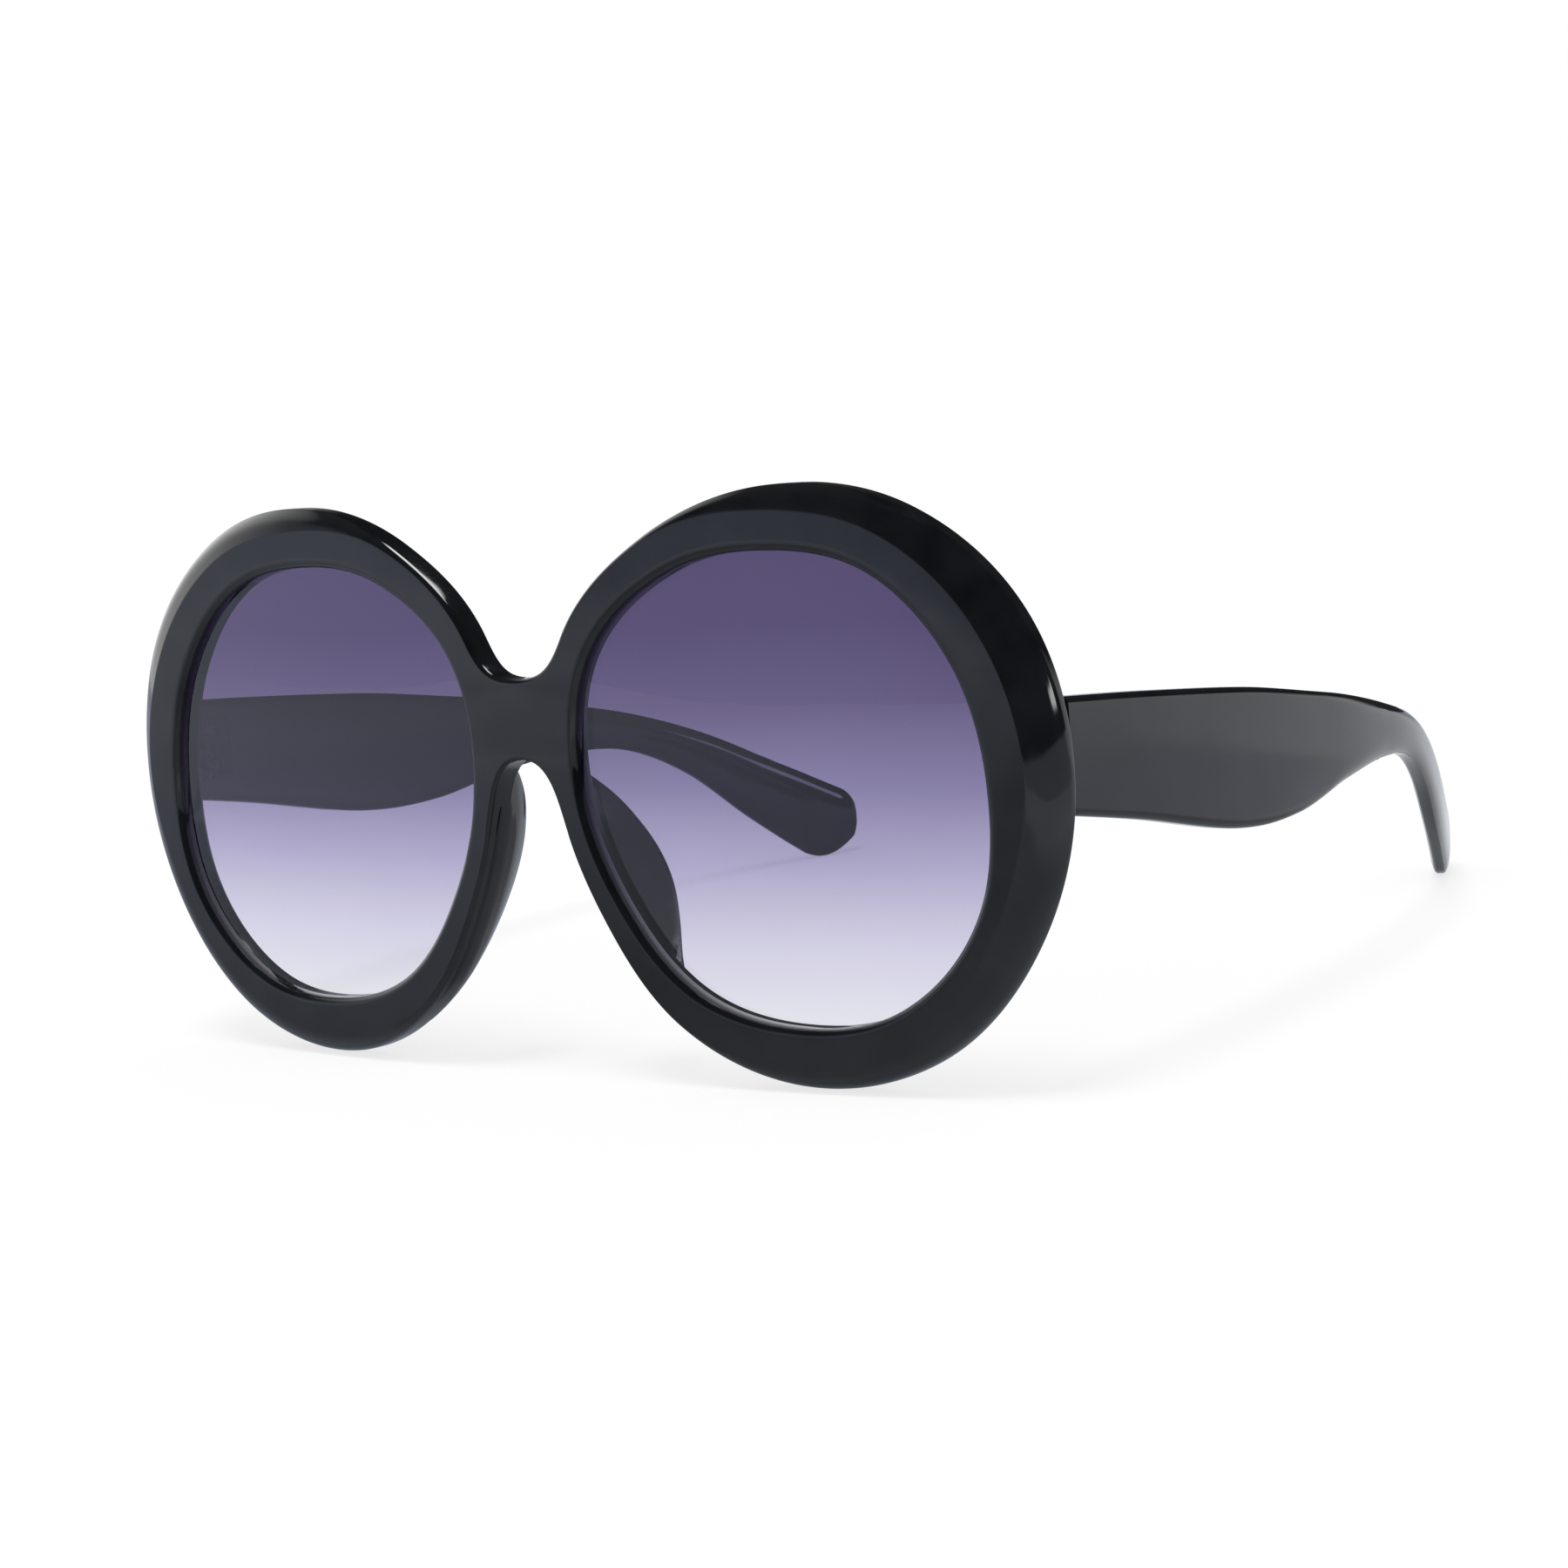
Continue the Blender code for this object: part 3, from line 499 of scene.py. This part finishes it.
def loft(sections):
    """Faces that join sections of equal length into a tube, with flat caps."""
    size = len(sections[0])
    vertices = [point for section in sections for point in section]
    faces = []
    for i in range(len(sections) - 1):
        for j in range(size):
            k = (j + 1) % size
            faces.append((i * size + j, (i + 1) * size + j, (i + 1) * size + k, i * size + k))
    faces.append(tuple(range(size)))
    faces.append(tuple(reversed(range((len(sections) - 1) * size, len(sections) * size))))
    return vertices, faces


def mirrored_shape(shape):
    """The same shape on the wearer's right."""
    vertices, faces = shape
    return [Vector((-p.x, p.y, p.z)) for p in vertices], [tuple(reversed(face)) for face in faces]


def joined(*shapes):
    """Several shapes as one list of vertices and faces."""
    vertices = []
    faces = []
    for points, sides in shapes:
        start = len(vertices)
        vertices += points
        faces += [tuple(start + index for index in face) for face in sides]
    return vertices, faces


def mesh_object(name, shape):
    """An object in the model's own space, from points in the front's space."""
    vertices, faces = shape
    mesh = bpy.data.meshes.new(name)
    mesh.from_pydata([stand @ point for point in vertices], [], faces)
    tidy = bmesh.new()
    tidy.from_mesh(mesh)
    bmesh.ops.remove_doubles(tidy, verts=tidy.verts, dist=MERGE_DISTANCE)
    bmesh.ops.delete(tidy, geom=[v for v in tidy.verts if not v.link_faces], context="VERTS")
    bmesh.ops.recalc_face_normals(tidy, faces=tidy.faces)
    tidy.to_mesh(mesh)
    tidy.free()
    made = bpy.data.objects.new(name, mesh)
    bpy.context.scene.collection.objects.link(made)
    return made


def cut(target, cutters):
    """Takes each cutter out of the target and leaves a plain mesh."""
    for cutter in cutters:
        taken = target.modifiers.new(cutter.name, "BOOLEAN")
        taken.operation = "DIFFERENCE"
        taken.solver = "EXACT"
        taken.object = cutter
    bpy.context.view_layer.update()
    graph = bpy.context.evaluated_depsgraph_get()
    solid = bpy.data.meshes.new_from_object(target.evaluated_get(graph))
    target.modifiers.clear()
    target.data = solid
    for cutter in cutters:
        bpy.data.objects.remove(cutter, do_unlink=True)


def dress(piece, look, slot, body, *nodes):
    """Material, smooth shading, the body it rides on and the nodes it stands for."""
    piece.data.materials.clear()
    piece.data.materials.append(look)
    piece.data.shade_smooth()
    piece.data.set_sharp_from_angle(angle=SMOOTH_ANGLE)
    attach(piece, body)
    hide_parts(*nodes)


def box_shape(low, high, frame):
    """A box between two corners of a frame."""
    corners = [Vector((x, y, z)) for x in (low[0], high[0]) for y in (low[1], high[1])
               for z in (low[2], high[2])]
    faces = [(0, 1, 3, 2), (4, 6, 7, 5), (0, 4, 5, 1), (2, 3, 7, 6), (0, 2, 6, 4), (1, 5, 7, 3)]
    return [frame @ corner for corner in corners], faces


# Lens and nose pad

def lens_shape():
    """A lens with a flat edge that follows the groove, and a low dome inside it."""
    front = GROOVE_SETBACK + LENS_CLEARANCE
    layers = []
    for face in (front, front + LENS_THICKNESS):
        for ring in range(1, LENS_RINGS + 1):
            share = ring / LENS_RINGS
            rise = LENS_DOME * (1 - share * share)
            layer = []
            for index in range(LENS_COLUMNS):
                angle = math.tau * index / LENS_COLUMNS
                radius = (opening_radius(angle) + GROOVE_DEPTH - LENS_CLEARANCE) * share
                place = lens_point(radius, angle)
                layer.append(bend(place.x, place.y, face - rise))
            layers.append(layer)
        middle = lens_point(0.0, 0.0)
        layers.append([bend(middle.x, middle.y, face - LENS_DOME)])
    front_rings, front_middle = layers[:LENS_RINGS], layers[LENS_RINGS]
    back_rings, back_middle = layers[LENS_RINGS + 1:-1], layers[-1]
    vertices = [*front_middle, *(p for ring in front_rings for p in ring)]
    vertices += [*(p for ring in reversed(back_rings) for p in ring), *back_middle]
    faces = []
    for index in range(LENS_COLUMNS):
        after = (index + 1) % LENS_COLUMNS
        faces.append((0, 1 + index, 1 + after))
        for ring in range(2 * LENS_RINGS - 1):
            low = 1 + ring * LENS_COLUMNS
            high = low + LENS_COLUMNS
            faces.append((low + index, high + index, high + after, low + after))
        last = 1 + (2 * LENS_RINGS - 1) * LENS_COLUMNS
        faces.append((last + index, len(vertices) - 1, last + after))
    return vertices, faces


def pad_shape():
    """A nose pad cemented behind the rim's nasal side: a lobe that leans out over the lens as it rises."""
    sections = []
    steps = PAD_STEPS * (len(pad_profile_shares) - 1)
    columns = [[row[part] for row in pad_profile_shares] for part in range(3)]
    profile = [[along(column, index / steps) for column in columns] for index in range(steps + 1)]
    for index in range(PAD_STATIONS):
        t = index / (PAD_STATIONS - 1)
        angle = pad_top_angle + (pad_bottom_angle - pad_top_angle) * t
        swell = max(along(pad_swell_shares, t), 0.0)
        height = PAD_END_HEIGHT + (PAD_HEIGHT - PAD_END_HEIGHT) * swell
        flare = PAD_FLARE * height / PAD_HEIGHT
        lean = PAD_LEAN_OVER * height / PAD_HEIGHT
        nose = rim_width(angle)
        section = [(nose - flare * out - lean * over, height * rise) for out, over, rise in profile]
        crest = section[-1]
        settled = min(swell * pad_settling_rate, 1.0)
        lift = PAD_GLUE_LINE - PAD_END_SINK * (1 - settled)
        sunk = SKIRT_STANDOFF * (2 * settled - 1)
        reach = -thickness_at(rim_point(angle).x) * skirt_reach_share
        skirt = [(nose - PAD_EDGE, reach), (nose - SKIRT_STANDOFF, reach)]
        skirt += [(nose + sunk, reach * (1 - step / PAD_STEPS)) for step in range(1, PAD_STEPS)]
        foot = (PAD_EDGE, 0.0)
        waist = ((PAD_EDGE + crest[0]) / 2, height / 2)
        lens_side = []
        for step in range(1, 2 * PAD_STEPS):
            share = step / (2 * PAD_STEPS)
            lens_side.append(tuple(along(values, share) for values in zip(foot, waist, crest)))
        section = [foot, *skirt, *section, *reversed(lens_side)]
        points = []
        for out, rise in section:
            place = lens_point(opening_radius(angle) + out, angle)
            points.append(bend(place.x, place.y, thickness_at(place.x) + lift + rise))
        sections.append(points)
    return loft(sections)


# Hinge pockets

def hinge_axis():
    """The hinge's centre: it stands off the flat back by the same length as off the temple's inner face."""
    seat = bend(hinge_u(), HINGE_V, thickness_at(hinge_u()))
    tilt = back_tilt()
    return seat + Vector((-math.sin(tilt), math.cos(tilt), 0.0)) * HINGE_STANDOFF


def front_leaf_frame():
    return Matrix.Translation(hinge_axis()) @ Matrix.Rotation(back_tilt(), 4, "Z")


def temple_leaf_frame():
    return Matrix.Translation(hinge_axis()) @ Matrix.Rotation(math.radians(90), 4, "Z")


def stack_height():
    """The height of all the barrels with the gaps between them."""
    return BARREL_COUNT * BARREL_HEIGHT + (BARREL_COUNT - 1) * BARREL_GAP


def pocket_shape(of_front, frame):
    """The pocket of a hinge leaf."""
    inner = BARREL_RADIUS * neck_width_share + LEAF_BORDER + LEAF_CLEARANCE
    outer = (FRONT_LEAF_OUTER if of_front else TEMPLE_LEAF_AFT) + LEAF_CLEARANCE
    half = stack_height() / 2 + LEAF_BORDER + LEAF_CLEARANCE
    low = (-inner, -HINGE_STANDOFF - LEAF_THICKNESS - LEAF_CLEARANCE, -half)
    high = (outer, -HINGE_STANDOFF + OVERRUN, half)
    return box_shape(low, high, frame)


# Temple

def temple_start():
    """The y at which the middle of the temple's sheet ends, close behind the rim's back."""
    off_rim = (TEMPLE_END_GAP - HINGE_STANDOFF) / math.cos(back_tilt())
    out = HINGE_STANDOFF + TEMPLE_THICKNESS / 2
    return hinge_axis().y + off_rim + out * math.tan(back_tilt())


def temple_line(t):
    """The middle line in side view at t from 0 to 1, as (y, z), and the depth across it."""
    back, high, deep = (along([row[column] for row in temple_line_shares], t) for column in range(3))
    place = Vector((temple_start() + TEMPLE_LENGTH * back, HINGE_V + TEMPLE_DEPTH * high))
    return place, TEMPLE_DEPTH * deep


def line_way(t):
    """The direction of the middle line in side view."""
    step = 1 / LINE_STEPS
    return (temple_line(t + step)[0] - temple_line(t - step)[0]).normalized()


def inward_curl(y):
    """How far the sheet has come inwards at y."""
    return TEMPLE_CURL * along(temple_curl_shares, (y - temple_start()) / TEMPLE_LENGTH)


def sheet_point(y, z, off):
    """A point off the middle of the temple's sheet, which is cut flat and then curled inwards."""
    step = TEMPLE_LENGTH / CURL_STEPS
    turn = math.atan2(inward_curl(y + step) - inward_curl(y - step), 2 * step)
    middle = hinge_axis().x + HINGE_STANDOFF + TEMPLE_THICKNESS / 2 - inward_curl(y)
    return Vector((middle + off * math.cos(turn), y + off * math.sin(turn), z))


def temple_section(centre, way, depth, thickness, tall, mitre=0.0):
    """A flat section across the middle line. Its edges are rounded over a height of their own."""
    half = thickness / 2
    rounding = min(TEMPLE_EDGE_ROUND, half)
    tall = min(tall, depth / crown_depth_ratio)
    corner = [(half - rounding * inset, depth / 2 - tall * drop) for inset, drop in quarter_round()]
    flat = depth / 2 - tall * support_share
    corner.insert(0, (half, flat if flat > 0 else (depth / 2 - tall) / 2))
    ring = [*corner, *((-x, h) for x, h in reversed(corner))]
    ring += [(-x, -h) for x, h in ring]
    across = Vector((-way.y, way.x))
    points = []
    for x, h in ring:
        place = centre + across * h
        points.append(sheet_point(place.x + x * mitre, place.y, x))
    return points


def temple_shape():
    """The temple's body: sections along its middle line, then round its tip."""
    skin = []
    for index in range(STATIONS):
        t = index / (STATIONS - 1)
        centre, depth = temple_line(t)
        thickness = TEMPLE_THICKNESS * (1 - (1 - tip_thickness_share) * t)
        way = line_way(t) if index else Vector((1.0, 0.0))
        mitre = math.tan(back_tilt()) if index == 0 else 0.0
        crowned = min(max(t - crown_start_share, 0.0) / crown_run_share, 1.0)
        tall = TEMPLE_EDGE_ROUND + (CROWN_HEIGHT - TEMPLE_EDGE_ROUND) * crowned
        skin.append(temple_section(centre, way, depth, thickness, tall, mitre))
    for step in range(1, TIP_STEPS + 1):
        angle = math.radians(90) * step / (TIP_STEPS + tip_end_share)
        place = centre + way * TIP_REACH * math.sin(angle)
        thin = thickness - TEMPLE_EDGE_ROUND * (1 - math.cos(angle))
        skin.append(temple_section(place, way, depth * math.cos(angle), thin, tall))
    return loft(skin)


def channel_shape():
    """The wire's channel along the middle line of the temple."""
    radius = CORE_RADIUS + CORE_CLEARANCE
    sections = []
    for index in range(STATIONS):
        t = core_reach_share * index / (STATIONS - 1)
        place = temple_line(t)[0]
        if index == 0:
            place.x -= OVERRUN
        up = Vector((-line_way(t).y, line_way(t).x))
        ring = []
        for corner in range(CORE_SIDES):
            angle = math.tau * corner / CORE_SIDES
            side = place + up * radius * math.sin(angle)
            ring.append(sheet_point(side.x, side.y, CORE_OFFSET + radius * math.cos(angle)))
        sections.append(ring)
    return loft(sections)


# Materials

def new_look(name):
    """A material and its shader."""
    look = bpy.data.materials.new(name)
    look.use_nodes = True
    return look, look.node_tree.nodes, look.node_tree.links, look.node_tree.nodes["Principled BSDF"]


def noise(nodes, links, scale, detail=3.0, stretch=(1.0, 1.0, 1.0)):
    """Noise in the object's own space. The scale is in cells to a metre."""
    place = nodes.new("ShaderNodeTexCoord")
    mapping = nodes.new("ShaderNodeMapping")
    mapping.inputs["Scale"].default_value = stretch
    texture = nodes.new("ShaderNodeTexNoise")
    texture.inputs["Scale"].default_value = scale
    texture.inputs["Detail"].default_value = detail
    links.new(place.outputs["Object"], mapping.inputs["Vector"])
    links.new(mapping.outputs["Vector"], texture.inputs["Vector"])
    return texture.outputs["Fac"]


def ranged(nodes, links, value, start, end, low=0.0, high=1.0):
    """A value brought from one range to another."""
    made = nodes.new("ShaderNodeMapRange")
    made.inputs["From Min"].default_value = start
    made.inputs["From Max"].default_value = end
    made.inputs["To Min"].default_value = low
    made.inputs["To Max"].default_value = high
    links.new(value, made.inputs["Value"])
    return made.outputs["Result"]


def spread(nodes, links, value, low, high):
    """Noise brought to a range."""
    return ranged(nodes, links, value, NOISE_LOW, NOISE_HIGH, low, high)


def ramp(nodes, links, value, stops):
    """Colours at places from 0 to 1."""
    made = nodes.new("ShaderNodeValToRGB")
    elements = made.color_ramp.elements
    while len(elements) < len(stops):
        elements.new(0.5)
    for element, (place, colour) in zip(elements, stops):
        element.position = place
        element.color = (*colour, 1.0)
    links.new(value, made.inputs["Fac"])
    return made.outputs["Color"]


def bump(nodes, links, height, distance, strength, before=None):
    """Surface normals that follow a height, on top of earlier ones."""
    made = nodes.new("ShaderNodeBump")
    made.inputs["Distance"].default_value = distance
    made.inputs["Strength"].default_value = strength
    links.new(height, made.inputs["Height"])
    if before:
        links.new(before, made.inputs["Normal"])
    return made.outputs["Normal"]


def feed(links, socket, value):
    """Links a socket to another one, or sets it to a plain value."""
    if isinstance(value, bpy.types.NodeSocket):
        links.new(value, socket)
    else:
        socket.default_value = value


def calculate(nodes, links, operation, *values, clamp=False):
    """One step of arithmetic."""
    made = nodes.new("ShaderNodeMath")
    made.operation = operation
    made.use_clamp = clamp
    for socket, value in zip(made.inputs, values):
        feed(links, socket, value)
    return made.outputs["Value"]


def blend(nodes, links, share, first, second, way="MIX"):
    """Two colours mixed, with a share of the second."""
    made = nodes.new("ShaderNodeMix")
    made.data_type = "RGBA"
    made.blend_type = way
    feed(links, made.inputs["Factor"], share)
    feed(links, made.inputs["A"], first)
    feed(links, made.inputs["B"], second)
    return made.outputs["Result"]


def axes_of(nodes, links, vector):
    """The X, Y and Z of a vector."""
    split = nodes.new("ShaderNodeSeparateXYZ")
    links.new(vector, split.inputs["Vector"])
    return split.outputs


def acetate_look():
    """Black acetate, tumbled and buffed: a deep gloss with faint waves, haze and hairlines."""
    look, nodes, links, shader = new_look("black_acetate_polished")
    mottle = noise(nodes, links, scale=160.0, detail=4.0)
    colour = ramp(nodes, links, mottle, (
        (NOISE_LOW, (0.0040, 0.0046, 0.0056)), (NOISE_HIGH, (0.0085, 0.0095, 0.0115))))
    links.new(colour, shader.inputs["Base Color"])
    haze = noise(nodes, links, scale=420.0, detail=5.0)
    links.new(spread(nodes, links, haze, low=0.05, high=0.10), shader.inputs["Roughness"])
    wave = noise(nodes, links, scale=70.0, detail=1.0)
    hairline = noise(nodes, links, scale=900.0, detail=2.0, stretch=(1.0, 1.0, 14.0))
    waved = bump(nodes, links, wave, distance=0.00012, strength=0.35)
    lined = bump(nodes, links, hairline, distance=0.000004, strength=0.015, before=waved)
    links.new(lined, shader.inputs["Normal"])
    shader.inputs["IOR"].default_value = refraction
    shader.inputs["Specular IOR Level"].default_value = 0.5
    return look


def lens_look(low, high):
    """Gradient tint, dark violet-grey at the brow and nearly clear at the cheek."""
    look, nodes, links, shader = new_look("violet_gradient_lens")
    place = axes_of(nodes, links, nodes.new("ShaderNodeTexCoord").outputs["Object"])
    height = ranged(nodes, links, place["Z"], low, high)
    drift = noise(nodes, links, scale=40.0, detail=2.0)
    shifted = calculate(nodes, links, "MULTIPLY_ADD", drift, tint_drift_share, height)
    links.new(ramp(nodes, links, shifted, tint_stops), shader.inputs["Base Color"])
    film = noise(nodes, links, scale=300.0, detail=3.0)
    links.new(spread(nodes, links, film, low=0.0, high=0.012), shader.inputs["Roughness"])
    shader.inputs["Transmission Weight"].default_value = 1.0
    shader.inputs["IOR"].default_value = refraction
    return look


def metal_look(name, dark, pale, smooth, rough, grain):
    """Satin metal with fine grain along its height."""
    look, nodes, links, shader = new_look(name)
    brushed = noise(nodes, links, scale=grain, detail=6.0, stretch=(1.0, 1.0, 0.12))
    colour = ramp(nodes, links, brushed, ((NOISE_LOW, dark), (NOISE_HIGH, pale)))
    links.new(colour, shader.inputs["Base Color"])
    links.new(spread(nodes, links, brushed, low=smooth, high=rough), shader.inputs["Roughness"])
    links.new(bump(nodes, links, brushed, distance=0.00001, strength=0.3), shader.inputs["Normal"])
    shader.inputs["Metallic"].default_value = 1.0
    return look


# Studio

def grey(level):
    return (level, level, level, 1.0)


def direction(azimuth, elevation):
    """The way out to an azimuth from the front, towards the wearer's left, and an elevation."""
    flat = math.cos(elevation)
    return Vector((math.sin(azimuth) * flat, -math.cos(azimuth) * flat, math.sin(elevation)))


def by_azimuth(nodes, links, place, colours):
    """Colours by azimuth in degrees from the front, towards the wearer's left."""
    ahead = calculate(nodes, links, "MULTIPLY", place["Y"], -1.0)
    turn = calculate(nodes, links, "ARCTAN2", place["X"], ahead)
    clock = ranged(nodes, links, turn, -math.pi, math.pi)
    return ramp(nodes, links, clock, [(azimuth / 360 + 0.5, colour) for azimuth, colour in colours])


def painted_pool_beside_temple(nodes, links, place, painted_reflection_tone):
    """A painted reflection: a darker pool on the table, as the gloss sees it, beside the near temple."""
    share = ranged(nodes, links, place["X"], *reflection_pool_near)
    for axis, edge in (("X", reflection_pool_far), ("Y", reflection_pool_end)):
        share = calculate(nodes, links, "MULTIPLY", share, ranged(nodes, links, place[axis], *edge))
    return blend(nodes, links, share, painted_reflection_tone, (*reflection_pool_colour, 1.0))


def add_floor():
    """A white table that keeps a faint shadow. Gloss sees painted reflection colours and shades on it instead
    of white.
    """
    corners = [(x * FLOOR_HALF, y * FLOOR_HALF, 0) for x, y in ((-1, -1), (1, -1), (1, 1), (-1, 1))]
    mesh = bpy.data.meshes.new("table")
    mesh.from_pydata(corners, [], [(0, 1, 2, 3)])
    table = bpy.data.objects.new("table", mesh)
    bpy.context.scene.collection.objects.link(table)
    look, nodes, links, shader = new_look("white_table")
    shader.inputs["Base Color"].default_value = WHITE
    shader.inputs["Roughness"].default_value = 1.0
    shader.inputs["Specular IOR Level"].default_value = 0.0

    place = axes_of(nodes, links, nodes.new("ShaderNodeTexCoord").outputs["Object"])
    span = ranged(nodes, links, place["X"], -FLOOR_SHOWN, FLOOR_SHOWN)
    across = ramp(nodes, links, span, [
        ((metres / FLOOR_SHOWN + 1) / 2, colour) for metres, colour in table_reflection_colours])
    # Painted reflections: the colours and shades that only the gloss sees on the table.
    painted_reflection_tone = blend(nodes, links, 1.0, across, by_azimuth(nodes, links, place, table_reflection_shades), "MULTIPLY")
    painted_reflection = painted_pool_beside_temple(nodes, links, place, painted_reflection_tone)
    path = nodes.new("ShaderNodeLightPath").outputs
    camera, gloss, glass = path["Is Camera Ray"], path["Is Glossy Ray"], path["Is Transmission Ray"]
    mirrored = calculate(nodes, links, "SUBTRACT", gloss, glass, clamp=True)
    glow = nodes.new("ShaderNodeEmission")
    glow.inputs["Strength"].default_value = 1.0
    # Camera rays see plain white, and glossy rays see the painted reflection.
    links.new(blend(nodes, links, mirrored, WHITE, painted_reflection), glow.inputs["Color"])

    seen = calculate(nodes, links, "MAXIMUM", calculate(nodes, links, "MAXIMUM", camera, gloss), glass)
    mix = nodes.new("ShaderNodeMixShader")
    links.new(calculate(nodes, links, "MULTIPLY", seen, floor_own_share), mix.inputs["Fac"])
    links.new(shader.outputs["BSDF"], mix.inputs[1])
    links.new(glow.outputs["Emission"], mix.inputs[2])
    links.new(mix.outputs["Shader"], nodes["Material Output"].inputs["Surface"])
    mesh.materials.append(look)


def add_world():
    """White for the camera and the lenses. Gloss shows the room, and an even grey lights the surfaces."""
    world = bpy.data.worlds.new("studio")
    bpy.context.scene.world = world
    world.use_nodes = True
    nodes, links = world.node_tree.nodes, world.node_tree.links
    way = nodes.new("ShaderNodeTexCoord").outputs["Generated"]
    place = axes_of(nodes, links, way)
    ceiling = ramp(nodes, links, place["Z"], ceiling_shades)
    room = blend(nodes, links, 1.0, ceiling, by_azimuth(nodes, links, place, wall_colours), "MULTIPLY")
    for azimuth, elevation, outer, inner, shade in room_panels:
        towards = nodes.new("ShaderNodeVectorMath")
        towards.operation = "DOT_PRODUCT"
        towards.inputs[1].default_value = direction(math.radians(azimuth), math.radians(elevation))
        links.new(way, towards.inputs[0])
        edge = math.cos(math.radians(outer)), math.cos(math.radians(inner))
        patch = ranged(nodes, links, towards.outputs["Value"], *edge)
        room = blend(nodes, links, patch, room, grey(shade))

    path = nodes.new("ShaderNodeLightPath").outputs
    lit = blend(nodes, links, path["Is Glossy Ray"], grey(ambient_level), room)
    white = calculate(nodes, links, "MAXIMUM", path["Is Camera Ray"], path["Is Transmission Ray"])
    background = nodes["Background"]
    links.new(blend(nodes, links, white, lit, WHITE), background.inputs["Color"])
    background.inputs["Strength"].default_value = 1.0


def add_lamp():
    """One soft lamp overhead, a little to the front."""
    lamp = bpy.data.lights.new("soft_lamp", "SUN")
    lamp.energy = sun_level
    lamp.angle = sun_softness
    placed = bpy.data.objects.new("soft_lamp", lamp)
    placed.rotation_euler = (sun_tilt, 0.0, 0.0)
    placed.visible_glossy = False
    bpy.context.scene.collection.objects.link(placed)


def add_camera():
    """The view from the front and the wearer's left, placed about the front's own space."""
    back = direction(camera_azimuth, camera_elevation)
    level = (-back).cross(Vector((0.0, 0.0, 1.0))).normalized()
    upright = level.cross(-back)
    right = level * math.cos(camera_roll) + upright * math.sin(camera_roll)
    up = upright * math.cos(camera_roll) - level * math.sin(camera_roll)
    place = back * CAMERA_DISTANCE + right * CAMERA_ASIDE + up * CAMERA_RISE
    place += Vector((0.0, CAMERA_BACK, CAMERA_DROP))
    camera = bpy.data.cameras.new("camera")
    camera.sensor_width = SENSOR_MM
    camera.sensor_fit = "HORIZONTAL"
    camera.lens = LENS_MM
    camera.clip_start = CLIP_START
    camera.clip_end = CLIP_END
    held = bpy.data.objects.new("camera", camera)
    axes = Matrix((right, up, back)).transposed().to_4x4()
    held.matrix_world = stand @ Matrix.Translation(place) @ axes
    bpy.context.scene.collection.objects.link(held)
    bpy.context.scene.camera = held


def stand_of(joint):
    """The lean and place of the front's own space in the model, from the left hinge's axis."""
    turn = Matrix.Rotation(-math.atan2(joint["axis"][1], joint["axis"][2]), 4, "X")
    return Matrix.Translation(Vector(joint["pos_m"]) - turn @ hinge_axis()) @ turn


def on_side(shape, side):
    """The shape itself on the wearer's left, and its mirror image on the right."""
    return shape if side == "left" else mirrored_shape(shape)


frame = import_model()
stand = stand_of(next(joint for joint in frame["joints"] if joint["name"] == "temple_left_fold"))

acetate = acetate_look()
lens_low, lens_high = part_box("lens_left")
tint = lens_look(lens_low.z, lens_high.z)
metals = {
    "leaf": metal_look("black_plated_hinge", dark=(0.035, 0.035, 0.040), pale=(0.075, 0.075, 0.080),
                       smooth=0.25, rough=0.40, grain=2200.0),
    "core": metal_look("drawn_core_wire", dark=(0.40, 0.40, 0.41), pale=(0.60, 0.60, 0.60),
                       smooth=0.30, rough=0.45, grain=1500.0),
    "screw": metal_look("black_plated_screw", dark=(0.045, 0.045, 0.050), pale=(0.095, 0.095, 0.100),
                        smooth=0.18, rough=0.32, grain=2600.0),
}

half = front_half()
front = mesh_object("front_acetate", joined(half, mirrored_shape(half)))
pocket = pocket_shape(True, front_leaf_frame())
cut(front, [mesh_object("front_pockets", joined(pocket, mirrored_shape(pocket)))])
dress(front, acetate, "black_acetate", "front", "front_frame")

lens, pad, temple = lens_shape(), pad_shape(), temple_shape()
arm_pocket, arm_channel = pocket_shape(False, temple_leaf_frame()), channel_shape()
for side in ("left", "right"):
    glass = mesh_object("tinted_lens_" + side, on_side(lens, side))
    dress(glass, tint, "tinted_lens", "front", "lens_" + side)
    lobe = mesh_object("pad_" + side, on_side(pad, side))
    dress(lobe, acetate, "black_acetate", "front", "nose_pad_" + side)
    arm = mesh_object("arm_" + side, on_side(temple, side))
    cut(arm, [mesh_object("arm_pocket_" + side, on_side(arm_pocket, side)),
              mesh_object("arm_channel_" + side, on_side(arm_channel, side))])
    dress(arm, acetate, "black_acetate", side + "_arm", "temple_" + side)

for name, node in frame["nodes"].items():
    for word, metal in metals.items():
        if word in name:
            for place in node.material_slots:
                place.material = metal

add_floor()
add_world()
add_lamp()
add_camera()
bpy.context.scene.view_settings.view_transform = "Standard"
